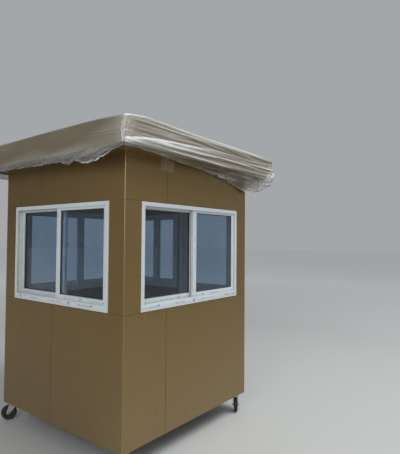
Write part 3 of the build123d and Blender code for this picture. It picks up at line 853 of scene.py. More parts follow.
class BOOTH_OT_windows(BoothOperator):
    """Finish the windows, and add beads, gaskets, brush seals, running rails and drain slots"""

    bl_idname = "booth.windows"
    bl_label = "Windows"

    def execute(self, context):
        sizes = context.scene.booth_windows
        frames = [f"{side}_window_{part}" for side in SIDES for part in ("frame", "sashes")]
        dress(frames, "white powder coat")
        soften(frames, sizes.soften)
        dress([f"{side}_window_glass" for side in SIDES], "window glass")
        for side in SIDES:
            axes = side_axes(side)
            beads, gaskets = Shape(axes), Shape(axes)
            outer, inner = window_sashes(side)
            for sash in (outer, inner):
                sash.pane().trims(beads, gaskets, sizes)
            self.brushes(gaskets, outer, inner)
            self.rails(beads, gaskets, side, outer, inner)
            beads.piece(f"{side}_window_beads", "white powder coat", slot="sash_white")
            gaskets.piece(f"{side}_window_gaskets", "black rubber", slot="sash_white")
        return {"FINISHED"}

    def brushes(self, gaskets, outer, inner):
        """Brush seals between the two meeting stiles, one on each of them."""
        half_width, play, rounding = 0.002, 0.0006, 0.0006
        from_outer_edge, from_inner_edge = 0.005, 0.034
        over_foot, under_head = 0.008, 0.022
        foot, head = outer.low.y + over_foot, outer.high.y - under_head
        for x, low, high in (
            (outer.low.x + from_outer_edge, inner.high.z + play, outer.low.z),
            (inner.high.x - from_inner_edge, inner.high.z, outer.low.z - play),
        ):
            gaskets.block((x - half_width, foot, low), (x + half_width, head, high), rounding)

    def rails(self, beads, gaskets, side, outer, inner):
        """Running rails in the sill's two tracks, and drain slots in its face."""
        from_jamb, half_slot, slot_foot, slot_head = 0.14, 0.014, 0.017, 0.012
        clear, half_rail, rail_foot, rail_head = 0.004, 0.0015, 0.0062, 0.0005
        frame_low, frame_high = side_box(side, f"{side}_window_frame")
        sill, face = frame_low.y + SILL_FACE, frame_high.z
        left, right = frame_low.x + FRAME_FACE, frame_high.x - FRAME_FACE
        for x in (left + from_jamb, right - from_jamb):
            low = (x - half_slot, sill - slot_foot, face - 0.0002)
            high = (x + half_slot, sill - slot_head, face + 0.0006)
            gaskets.block(low, high, 0.0004)
        for sash, start, end in ((outer, left, outer.low.x - clear), (inner, inner.high.x + clear, right)):
            middle = (sash.low.z + sash.high.z) / 2
            low = (start, sill - rail_foot, middle - half_rail)
            high = (end, sill - rail_head, middle + half_rail)
            beads.block(low, high, 0.0006)


class BOOTH_OT_window_tape(BoothOperator):
    """Lay the protective tape on the window profiles"""

    bl_idname = "booth.window_tape"
    bl_label = "Window tape"

    def execute(self, context):
        edge = context.scene.booth_windows.tape_edge
        bare, hidden, hidden_head, head_width, stands = 0.001, 0.0065, 0.0205, 0.012, 0.0002
        outer_print, inner_print = 11, 16
        for turn, side in enumerate(SIDES):
            side_print = turn * 1.7
            tape = Shape(side_axes(side))
            low, high = side_box(side, f"{side}_window_frame")
            face = FRAME_FACE - edge - bare
            frame_tapes(
                tape, (low.x + edge, low.y + edge), (high.x - edge, high.y - edge),
                high.z + stands, (face, face, face, SILL_FACE - edge - bare),
                (0.35, 0.35, 0.12, 1), side_print,
            )
            outer, inner = window_sashes(side)
            jamb, lap = STILE - hidden - bare, 0.003
            for sash, ends, widths, offset in (
                (outer, (bare, hidden), (OUTER_STILE - lap, jamb), outer_print),
                (inner, (hidden, bare), (jamb, INNER_STILE - lap), inner_print),
            ):
                frame_tapes(
                    tape, (sash.low.x + ends[0], sash.low.y + hidden),
                    (sash.high.x - ends[1], sash.high.y - hidden_head),
                    sash.high.z + stands, (*widths, head_width, BOTTOM_RAIL - hidden - bare),
                    (0.45, 0.3, 0.05, 0.9), side_print + offset,
                )
            tape.piece(f"{side}_window_tape", "profile tape", slot="frame_white")
        return {"FINISHED"}


class BOOTH_OT_latches(BoothOperator):
    """Finish the crescent latches of the windows and add their knobs and screws"""

    bl_idname = "booth.latches"
    bl_label = "Window latches"

    def execute(self, context):
        dress(["window_latches"], "white powder coat")
        soften(["window_latches"], context.scene.booth_windows.soften)
        plate_thick, hub_thick, half_plate, screw_up = 0.004, 0.013, 0.035, 0.026
        grip_across, grip_up = 0.018, 0.036
        pivot = ((0, 0), (0.0055, 0), (0.0055, -0.002), (0.0038, -0.0035), (0, -0.0035))
        grip = (
            (0, 0.0004), (0.0046, 0.0004), (0.006, -0.001),
            (0.006, -0.0045), (0.004, -0.0065), (0, -0.0065),
        )
        screw = ((0, 0), (0.0034, 0), (0.0028, -0.0011), (0, -0.0013))
        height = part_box("window_latches")[0].z + half_plate
        knobs = Shape()
        for side in SIDES:
            inner = window_sashes(side)[1]
            knobs.axes = side_axes(side)
            across = inner.high.x - INNER_STILE / 2
            plate, hub = inner.low.z - plate_thick, inner.low.z - hub_thick
            knobs.lathe(pivot, (across, height, hub), segments=20)
            knobs.lathe(grip, (across + grip_across, height + grip_up, hub), segments=20)
            for up in (-screw_up, screw_up):
                knobs.lathe(screw, (across, height + up, plate), segments=16)
        knobs.piece("latch_knobs", "black rubber", slot="latch")
        return {"FINISHED"}


class BOOTH_OT_door(BoothOperator):
    """Finish the door and its hinges and lock, and add beads, gaskets and screws"""

    bl_idname = "booth.door"
    bl_label = "Door"

    def execute(self, context):
        sizes = context.scene.booth_windows
        white = ["door_frame", "door_leaf", "hinge_frame_halves", "hinge_leaf_halves"]
        dress(white, "white powder coat")
        dress(["door_panel"], "bronze cladding")
        dress(["door_glass"], "window glass")
        dress(["lock_plates", "door_lever"], "zinc plate")
        soften(["door_frame", "door_leaf", "lock_plates", "door_lever"], sizes.soften)
        axes = side_axes("right")
        beads, gaskets = Shape(axes), Shape(axes)
        leaf_low, leaf_high = side_box("right", "door_leaf")
        groove = 0.008
        for node in ("door_glass", "door_panel"):
            low, high = side_box("right", node)
            pane = Pane(
                (low.x + groove, low.y + groove), (high.x - groove, high.y - groove),
                (leaf_high.z, leaf_low.z), (high.z, low.z),
            )
            pane.trims(beads, gaskets, sizes)
        beads.piece("door_beads", "white powder coat", "door", "frame_white")
        gaskets.piece("door_gaskets", "black rubber", "door", "frame_white")
        self.screws()
        return {"FINISHED"}

    def screws(self):
        """Screws of the hinges and lock plates, and the lock's cylinder."""
        head = ((0, 0), (0.0036, 0), (0.0032, 0.0009), (0.0014, 0.0012), (0, 0.0006))
        cylinder = ((0, 0), (0.0085, 0), (0.0085, 0.002), (0.0072, 0.0028), (0, 0.0028))
        half_hinge, middle_hinge, pitch = 0.045, 0.93, 0.032
        inset, plate_face = 0.008, 0.009
        plate_end, cylinder_up = 0.012, 0.055
        axes = side_axes("right")
        for node, body in (("hinge_frame_halves", "booth"), ("hinge_leaf_halves", "door")):
            screws = Shape(axes)
            low, high = side_box("right", node)
            across = high.x - inset if body == "booth" else low.x + inset
            for middle in (low.y + half_hinge, low.y + middle_hinge, high.y - half_hinge):
                for up in (-pitch, 0, pitch):
                    screws.lathe(head, (across, middle + up, plate_face), segments=16)
            screws.piece(f"{node}_screws", "zinc plate", body, "hinge_white")
        low, high = side_box("right", "lock_plates")
        lock = Shape(axes)
        across = (low.x + high.x) / 2
        for up in (low.y + plate_end, high.y - plate_end):
            lock.lathe(head, (across, up, high.z), segments=16)
        lock.lathe(cylinder, (across, low.y + cylinder_up, high.z), segments=28)
        lock.piece("lock_screws", "zinc plate", "door", "lock_steel")


class BOOTH_OT_roof(BoothOperator):
    """Finish the fascia under the wrapping"""

    bl_idname = "booth.roof"
    bl_label = "Roof"

    def execute(self, context):
        dress(["roof_fascia"], "fascia sheet")
        return {"FINISHED"}


# The least gap under the film, and the share of the roof's half width that its square grid takes
FILM_GAP, GRID_SHARE = 0.0007, 0.93
# The film's lower edge round the roof: (place, inwards, down, belly), where place counts the sides
# from the front's left corner, the lengths run from the fascia's lower edge, and belly is 0 where
# the film goes in along the soffit first and 1 where it hangs down in a bag first
FILM_HEM = (
    (0.00, 0.020, 0.014, 0.6),
    (0.14, 0.030, 0.014, 0.4),
    (0.29, 0.070, 0.026, 0.2),
    (0.40, 0.130, 0.020, 0.0),
    (0.53, 0.170, 0.022, 0.0),
    (0.74, 0.172, 0.062, 0.0),
    (0.88, 0.172, 0.112, 0.3),
    (0.95, 0.165, 0.128, 0.7),
    (1.00, 0.150, 0.124, 1.0),
    (1.06, 0.085, 0.100, 1.0),
    (1.12, 0.045, 0.094, 0.9),
    (1.145, 0.035, 0.062, 0.7),
    (1.22, 0.030, 0.045, 0.5),
    (1.45, 0.045, 0.030, 0.4),
    (1.80, 0.040, 0.042, 0.4),
    (2.00, 0.030, 0.030, 0.5),
    (2.30, 0.060, 0.052, 0.4),
    (2.62, 0.045, 0.034, 0.4),
    (2.88, 0.040, 0.062, 0.5),
    (3.00, 0.020, 0.030, 0.5),
    (3.26, 0.012, 0.045, 0.6),
    (3.52, 0.012, 0.055, 0.6),
    (3.66, 0.012, 0.055, 0.6),
    (3.70, 0.014, 0.086, 0.6),
    (3.73, 0.014, 0.060, 0.6),
    (3.77, 0.016, 0.076, 0.6),
    (3.82, 0.018, 0.094, 0.6),
    (3.86, 0.022, 0.078, 0.6),
    (3.90, 0.026, 0.056, 0.6),
    (3.94, 0.026, 0.034, 0.6),
    (4.00, 0.020, 0.014, 0.6),
)


# Upright creases beside the near corner: (place at the top, place at the bottom, width, height,
# where they begin), where place is as above, less than 0 on the left side, and they begin at a
# share of the fascia's height from its top
PLEATS = (
    (0.008, -0.004, 0.0028, 1.00, 0.00),
    (0.030, 0.003, 0.0030, 0.60, 0.10),
    (0.060, 0.010, 0.0045, 0.35, 0.30),
    (-0.016, -0.005, 0.0026, 0.90, 0.25),
    (-0.040, -0.028, 0.0026, 0.50, 0.62),
    (-0.090, -0.100, 0.0030, 0.25, 0.70),
)
# Long wrinkles on the fascia: (side, how many, strength)
CREASES = ((0, 58, 1.0), (1, 36, 0.7), (2, 36, 0.7), (3, 14, 0.22))


def noise_over(x, y, seed):
    """Smooth noise from about -1 to 1 over two arrays of coordinates."""
    x, y = np.broadcast_arrays(x, y)
    values = [noise.noise((a, b, seed)) for a, b in zip(x.ravel().tolist(), y.ravel().tolist())]
    return np.array(values).reshape(x.shape)


def ridges(x, y, seed):
    """Noise with sharp crests, from 0 to 1."""
    return 1 - np.abs(noise_over(x, y, seed)).clip(0, 0.5) * 2


def step(start, end, value):
    """A smooth step between two values."""
    share = ((value - start) / (end - start)).clip(0, 1)
    return share * share * (3 - 2 * share)


def hump(middle, width, value):
    """A smooth hump that is 1 at its middle."""
    return np.exp(-(((value - middle) / width) ** 2))


class Film:
    """The wrapping: a square grid over the roof, then rows of points from the roof's edge to the hem."""

    def __init__(self, sizes):
        self.sizes = sizes
        self.half = FASCIA_HIGH.x + sizes.lift
        self.top = DECK_TOP + sizes.lift * 0.8
        self.bottom = FASCIA_LOW.z - sizes.lift
        self.tall = self.top - self.bottom
        self.outline()
        self.rows()
        self.shape()

    def outline(self):
        """Points round the rounded square that the film follows, closest at its crumpled corners."""
        places = np.linspace(0, 4, 4001)
        near = np.minimum(places, 4 - places)
        dense = 0.75 + 1.9 * hump(1.0, 0.13, places) + 0.9 * hump(3.72, 0.16, places)
        dense = dense + 1.3 * hump(0, 0.05, near) + 0.4 * (places < 1)
        dense = dense + 0.8 * sum(hump(corner, 0.02, places) for corner in (2, 3))
        passed = np.concatenate(((0,), np.cumsum((dense[1:] + dense[:-1]) / 2)))
        shares = np.arange(self.sizes.columns) / self.sizes.columns
        self.place = np.interp(shares * passed[-1], passed, places)
        reach = 1 - self.sizes.corner / self.half
        side = np.floor(self.place)
        along = (self.place - side) * 2 - 1
        bend = ((np.abs(along) - reach) / (1 - reach)).clip(0, 1) * math.pi / 4
        swing = np.sign(along) * bend
        x = np.clip(along, -reach, reach) + (1 - reach) * np.sin(swing)
        y = -reach - (1 - reach) * np.cos(swing)
        sine, cosine = np.sin(side * math.pi / 2), np.cos(side * math.pi / 2)
        self.plan = np.column_stack((x * cosine - y * sine, x * sine + y * cosine))

    def rows(self):
        """Each row outside the square grid, as its kind and its share of that stretch."""
        face_rows, hem_rows = 45, 32
        top = [("top", share) for share in (0.955, 0.985)]
        edge = [("edge", share) for share in (0, 0.33, 0.67)]
        face = [("face", share) for share in np.linspace(0, 1, face_rows)]
        hem = [("hem", share) for share in np.linspace(0, 1, hem_rows + 1)[1:]]
        self.stretch = top + edge + face + hem

    def shape(self):
        """The undisturbed surface, before wrinkles. The film stands off a little at the corners."""
        place = self.place
        puff = self.sizes.puff * hump(0, 0.035, place - np.round(place))
        at, *lengths = np.array(FILM_HEM).T
        inwards, down, belly = (np.interp(place, at, values) for values in lengths)
        ragged = 1 + 0.14 * noise_over(place * 26, 0, 3) + 0.09 * noise_over(place * 70, 0, 5)
        wobble = 0.007 * noise_over(place * 55, 0, 4) + 0.005 * noise_over(place * 120, 0, 6)
        down = down * ragged + wobble * hump(3.86, 0.10, place)
        edge = self.sizes.edge
        points, depth, hem = [], [], []
        for kind, share in self.stretch:
            if kind == "top":
                half, height, below = share * (self.half - edge), self.top, -(1 - share) * self.half
            elif kind == "edge":
                swing = share * math.pi / 2
                half = self.half - edge * (1 - math.sin(swing)) + puff * math.sin(swing)
                height = self.top - edge * (1 - math.cos(swing))
                below = share * edge
            elif kind == "face":
                half = self.half + puff
                height = self.top - edge - share * (self.tall - edge)
                below = self.top - height
            else:
                half = self.half + puff - inwards * share ** (0.65 + 1.2 * belly)
                height = self.bottom - down * share ** (1.7 - 0.95 * belly)
                below = self.tall + np.hypot(inwards, down) * share
            half, height, below = (np.broadcast_to(value, place.shape) for value in (half, height, below))
            points.append(np.column_stack((self.plan * half[:, None], height)))
            depth.append(below)
            hem.append(np.full(place.shape, share if kind == "hem" else 0.0))
        self.points = np.array(points)
        self.depth = np.array(depth)
        self.hem = np.array(hem)
        self.points[..., 2] += self.billow(self.points) * (1 - step(0, 0.09, self.depth))

    def billow(self, points):
        """How far air under the film lifts it over the roof's edge, beside the near corner."""
        along, deep = points[..., 0] / self.half, points[..., 1] / self.half
        front = np.interp(along, (-1, -0.94, -0.8, -0.56, -0.28, 0.16, 1), (0, 0.5, 1, 0.8, 0.55, 0.37, 0))
        left = np.interp(deep, (-1, -0.75, -0.3, 0.1, 0.7), (0, 0.4, 0.4, 0.22, 0))
        return self.sizes.billow * (front * hump(-1, 0.14, deep) + left * hump(-1, 0.14, along))

    def normals(self):
        """Outward normals of the undisturbed surface."""
        round_by = np.roll(self.points, -1, axis=1) - np.roll(self.points, 1, axis=1)
        down_by = np.gradient(self.points, axis=0)
        across = np.cross(down_by, round_by)
        return across / np.linalg.norm(across, axis=2, keepdims=True)

    def wrinkles(self):
        """How far each point stands out, and how white the film is there: whiter where it is doubled and
        crumpled, with painted highlights on the lit front, the top edge, the roll and the crests, and
        painted shade in the valleys of the creases.
        """
        place = np.broadcast_to(self.place, self.depth.shape)
        face = step(-0.02, 0.01, self.depth)
        stands, whites = zip(
            self.slack(place, face), self.creases(face), self.roll(place), self.bunch(place),
            self.pleats(place, face), self.loose_top(self.points, 1 - face), self.free_hem(place),
        )
        return sum(stands), sum(whites).clip(0, 1)

    def slack(self, place, face):
        """Soft long waves along each side, a painted highlight along the top edge that is brightest in
        front, and the front painted whiter as the lit side.
        """
        run = place * 2 * self.half
        side = np.floor(place)
        calm = np.where(side == 3, 0.25, np.where(side == 0, 0.8, 0.7))
        bend = 0.10 * noise_over(run * 1.1, self.depth * 3, 11)
        broad = ridges(run * 0.9, (self.depth / self.tall + bend) * 2.6, 2.5)
        thread = ridges(run * 2.2, (self.depth / self.tall + bend) * 15, 9.5)
        amount = calm * face
        # painted highlight along the top edge, strongest on the front
        rim = hump(0.004, 0.007, self.depth) * np.where(side == 0, 0.65, np.where(side == 3, 0.25, 0.3))
        # painted light: the whole front face is whiter than the other sides
        white = amount * (0.26 * broad ** 3 + 0.12 * thread ** 3) + 0.16 * (side == 0) * face
        veil = noise_over(run * 1.6 + self.depth * 7, self.depth * 9, 13).clip(-0.3, 1)
        veil = 0.65 * veil * hump(3.62, 0.34, place) + 0.18 * hump(3.98, 0.09, place)
        white = white + np.where(side == 3, veil, 0) * face
        return self.sizes.streak * amount * (0.7 * broad ** 3 + 0.18 * thread ** 2), white + rim

    def creases(self, face):
        """Long sharp wrinkles round the roof, each with a start, an end and a drift of its own."""
        stand, white = np.zeros(face.shape), np.zeros(face.shape)
        for side, count, strength in CREASES:
            columns = np.floor(self.place) == side
            place, depth = self.place[columns][None, :], self.depth[:, columns]
            chance = np.random.default_rng(40 + side)
            stood, crest_light_and_shade = np.zeros(depth.shape), np.zeros(depth.shape)
            for _ in range(count):
                middle, reach = side + chance.uniform(0.1, 1.0), chance.uniform(0.14, 0.42)
                at, drift = chance.uniform(0.05, 1.0) * self.tall, chance.normal(0.003, 0.010)
                bow, width = chance.normal(0, 0.006), chance.uniform(0.0028, 0.0065)
                height = chance.uniform(0.35, 1)
                along = (place - middle) / reach
                line = at + drift * along + bow * along ** 2
                gap = (depth - line) / width
                envelope = (1 - along ** 2).clip(0, 1) ** 1.3
                stood += height * envelope * np.exp(-np.where(gap < 0, -1.6 * gap, 0.9 * gap))
                # painted highlight on each crest and painted shade in the valley below it
                crest_light_and_shade += height * envelope * (hump(-0.2, 0.9, gap) - 0.8 * hump(1.7, 0.9, gap))
            growth = 0.35 + 0.45 * (place - side) + 0.45 * (place - side) ** 3
            growth = strength * growth * step(side + 1, side + 0.97, place) * step(side, side + 0.09, place)
            stand[:, columns] = stood * growth
            white[:, columns] = crest_light_and_shade * growth
        return self.sizes.streak * stand * face, 0.60 * white * face

    def roll(self, place):
        """A loose roll in the lower part of the front, from the near corner, painted white as a highlight
        that is brightest along its top edge.
        """
        along = place % 1
        line = np.interp(along, (0, 0.06, 0.14, 0.27, 0.42, 0.7), (0.86, 0.72, 0.61, 0.52, 0.44, 0.36))
        line = self.tall * line + 0.004 * noise_over(place * 7, 0, 21)
        below = self.depth - line
        amount = (place < 1) * (1 - step(0.22, 0.72, along)) * step(0, 0.02, along)
        body = step(-0.003, 0.008, below) * (1 - step(0.02, 0.075 + 0.02 * along, below))
        groove = ridges(place * 4, (below - 0.05 * along) * 38, 23) ** 2
        # painted highlight: brightest along the roll's top edge, lighter over its body and grooves
        white = amount * (0.58 * hump(0.006, 0.007, below) + 0.36 * body + 0.34 * body * groove)
        return self.sizes.roll * amount * body * (0.8 + 0.35 * groove), white

    def bunch(self, place):
        """Crumpled folds at the front's right corner, with painted glints on their crests and along the
        outline.
        """
        low = step(0.02, 0.13, self.depth)
        amount = hump(1.010, 0.085, place) * low
        run = place * 2 * self.half
        coarse = ridges(run * 15, self.depth * 17, 31) ** 2
        fine = ridges(run * 38, self.depth * 42, 33) ** 2
        # painted glints on the crumples
        fleck = step(0.62, 0.86, ridges(run * 26, self.depth * 30, 35))
        fleck = fleck + step(0.7, 0.9, ridges(run * 55, self.depth * 60, 37))
        stand = self.sizes.crumple * amount * (0.25 + 0.75 * coarse + 0.4 * fine)
        outline = 0.12 + 0.88 * hump(1.004, np.where(self.hem > 0, 0.085, 0.055), place)
        white = amount * outline * (0.25 * coarse + 0.35 * fine + 1.1 * fleck)
        near = np.minimum(np.abs(place - 0.012), np.abs(place - 4))
        pinch = hump(0, 0.035, near) * (self.hem == 0) * step(0, 0.01, self.depth)
        return stand + 0.0018 * pinch * fine, white + pinch * (0.22 + 0.22 * fine)

    def pleats(self, place, face):
        """Upright pinched creases at the near corner, and faint ones beside it."""
        away = np.where(place > 2, place - 4, place)
        share = self.depth / self.tall
        stand, white = np.zeros(place.shape), np.zeros(place.shape)
        for start, end, width, height, top in PLEATS:
            gap = (away - start - (end - start) * share) / width
            amount = height * np.exp(-np.abs(gap) ** 1.2) * step(top, top + 0.15, share) * face
            stand += amount
            white += amount * np.exp(-gap ** 2)
        on_face = self.hem == 0
        return 0.0045 * stand * on_face, 0.4 * white * on_face

    def loose_top(self, points, top=1):
        """Slack film on the roof's top, with long wrinkles that pull towards the corners."""
        x, y = points[..., 0], points[..., 1]
        stand = 0.004 * noise_over(x * 1.8, y * 1.8, 61)
        white = 0.25 * noise_over(x * 1.2, y * 2.2, 62)
        wrinkles = 90
        chance = np.random.default_rng(61)
        for _ in range(wrinkles):
            middle = chance.uniform(-0.9, 0.9, 2)
            corner = math.atan2(np.sign(middle[1]) - middle[1], np.sign(middle[0]) - middle[0])
            to_corner = chance.uniform() < 0.45
            angle = corner + chance.normal(0, 0.2) if to_corner else chance.normal(0, 0.22)
            reach, width = chance.uniform(0.15, 0.55), chance.uniform(0.010, 0.016)
            bow, height = chance.normal(0, 0.02), chance.uniform(0.25, 1)
            east, north = x - middle[0], y - middle[1]
            along = (east * math.cos(angle) + north * math.sin(angle)) / reach
            across = (north * math.cos(angle) - east * math.sin(angle) - bow * along ** 2) / width
            amount = height * (1 - along ** 2).clip(0, 1) * np.exp(-np.abs(across) ** 1.5)
            stand = stand + 0.0045 * amount
            white = white + 0.30 * amount
        return top * stand, top * (0.10 + white).clip(0, 0.75)

    def free_hem(self, place):
        """The hem's flutter and pleats, and its bright rim."""
        hang = self.hem
        run = place * 2 * self.half
        flutter = noise_over(run * 7, hang * 1.5, 51) * 0.010 + noise_over(run * 19, hang * 3, 53) * 0.006
        pleat = ridges(run * 16 + hang * 2, hang * 2.5, 55) ** 3
        tuck = ridges(run * 31, hang * 7, 57) ** 3
        tucked = step(0.20, 0.40, place) * (1 - step(0.90, 0.98, place))
        fleck = step(0.5, 0.8, ridges(run * 22, hang * 6, 58))
        crinkle = hump(0.71, 0.075, place) * tucked * hump(0.84, 0.10, hang)
        crush = hump(3.86, 0.10, place) * hang * ridges(run * 15 + hang * 5, hang * 3, 52) ** 2
        left = step(3.02, 3.06, place)
        folds_and_painted_light = ridges(run * 6 + hang * 3.5, hang * 1.2, 56) ** 4 * (hang > 0)
        stand = hang * (flutter * (1 - 0.6 * tucked) + 0.007 * pleat + 0.008 * left * folds_and_painted_light)
        stand = stand + crinkle * (0.006 + 0.010 * tuck) + 0.011 * crush
        squiggle = 0.25 + 0.85 * hump(3.84, 0.09, place)
        patchy = noise_over(run * 11, 0, 59).clip(0, 1)
        rim = hump(1, 0.05, hang) * (0.25 + 0.6 * patchy) * (1 - 0.55 * step(0.6, 0.8, place) * tucked)
        rim = np.where(left > 0, hump(1, 0.10, hang) * squiggle * (0.8 + 0.6 * patchy), rim) * (hang > 0)
        drape = 0.20 * hang * pleat * (1 - tucked) + 0.30 * left * folds_and_painted_light + 0.40 * crush
        lines = tucked * 0.30 * ridges(run * 2.2, hang * 6.5 + run, 60) ** 5 * (hang > 0)
        return stand, rim + drape + lines + crinkle * (0.15 * tuck + 0.85 * fleck)

    def settle(self, points):
        """Keep the film off the deck, the fascia, the soffit and the walls."""
        off_wall, off_soffit = 0.008, 0.0015
        flat = np.abs(points[..., :2]).max(axis=2)
        on_face = (self.depth > self.sizes.edge) & (self.hem == 0)
        least = np.where(on_face, FASCIA_HIGH.x + FILM_GAP, 0)
        least = np.where(self.hem > 0, HALF_WIDTH + off_wall, least)
        push = np.where(flat < least, least / np.maximum(flat, 1e-6), 1)
        points[..., :2] *= push[..., None]
        height = points[..., 2]
        height = np.where(self.depth <= 0, np.maximum(height, DECK_TOP + FILM_GAP), height)
        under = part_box("roof_soffit")[0].z - off_soffit
        points[..., 2] = np.where(self.hem > 0.03, np.minimum(height, under), height)
        return points

    def top_grid(self, cells=112):
        """The film over the roof: its points, how white it is, its faces and the places of its rim."""
        half = GRID_SHARE * (self.half - self.sizes.edge)
        steps = np.linspace(-half, half, cells + 1)
        y, x = np.meshgrid(steps, steps, indexing="ij")
        points = np.dstack((x, y, np.full(x.shape, self.top)))
        points[..., 2] += self.billow(points)
        stand, white = self.loose_top(points)
        points[..., 2] = np.maximum(points[..., 2] + stand, DECK_TOP + FILM_GAP)
        index = np.arange(x.size).reshape(x.shape)
        quads = np.stack((index[:-1, :-1], index[:-1, 1:], index[1:, 1:], index[1:, :-1]), axis=-1)
        rim = np.concatenate((index[0, :-1], index[:-1, -1], index[-1, :0:-1], index[:0:-1, 0]))
        return points.reshape(-1, 3), white.ravel(), quads.reshape(-1, 4), rim

    def mesh(self):
        """The rows and the square grid as one mesh."""
        out, white = self.wrinkles()
        rows = self.settle(self.points + self.normals() * out[..., None])
        count = out.size
        index = np.arange(count).reshape(out.shape)
        after = np.roll(index, -1, axis=1)
        quads = np.stack((index[:-1], index[1:], after[1:], after[:-1]), axis=-1).reshape(-1, 4)
        top, top_white, top_quads, rim = self.top_grid()
        rim_places = np.arange(len(rim)) * 4 / len(rim)
        joined = zipper(rim + count, rim_places, index[0], self.place)
        data = bpy.data.meshes.new("roof_wrapping")
        points = np.concatenate((rows.reshape(-1, 3), top))
        data.from_pydata(points.tolist(), [], [*quads.tolist(), *(top_quads + count).tolist(), *joined])
        place = np.broadcast_to(self.place, self.hem.shape)
        # where the painted shade of the flap goes
        flap_shade = step(0.10, 0.35, place) * (1 - step(0.90, 0.99, place))
        cover = 1 - step(0.02, 0.22, self.hem)
        for name, values, on_top in (
            ("folds_and_painted_light", white, top_white), ("cover", cover, top_white * 0 + 1), ("flap_shade", flap_shade, top_white * 0),
        ):
            layer = data.attributes.new(name, "FLOAT", "POINT")
            layer.data.foreach_set("value", np.concatenate((values.ravel(), on_top)).astype(np.float32))
        return data


def zipper(inner, inner_places, outer, outer_places):
    """Triangles between two closed loops of points, each point with its place round the roof."""
    loops = [[*points.tolist(), int(points[0])] for points in (inner, outer)]
    places = [[*values.tolist(), 4.0] for values in (inner_places, outer_places)]
    at = [0, 0]
    faces = []
    while at[0] < len(inner) or at[1] < len(outer):
        left = [at[k] < len(loops[k]) - 1 for k in (0, 1)]
        use = 1 if left[1] and (not left[0] or places[1][at[1] + 1] <= places[0][at[0] + 1]) else 0
        faces.append((loops[0][at[0]], loops[1][at[1]], loops[use][at[use] + 1]))
        at[use] += 1
    return faces


class BOOTH_OT_film(BoothOperator):
    """Wrap the roof in its film, and lay a strip of clear tape on the front"""

    bl_idname = "booth.film"
    bl_label = "Roof film"

    def execute(self, context):
        sizes = context.scene.booth_film
        film = add_piece("roof_wrapping", Film(sizes).mesh(), "wrapping film", crease=180)
        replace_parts(film, "roof_film")
        left, right, foot, head = -0.408, -0.264, 2.060, 2.150
        strip = Shape(side_axes("front"))
        strip.block((left, foot, 0.0003), (right, head, 0.0008), 0.0002)
        strip.piece("film_strip", "clear strip", slot="film")
        return {"FINISHED"}


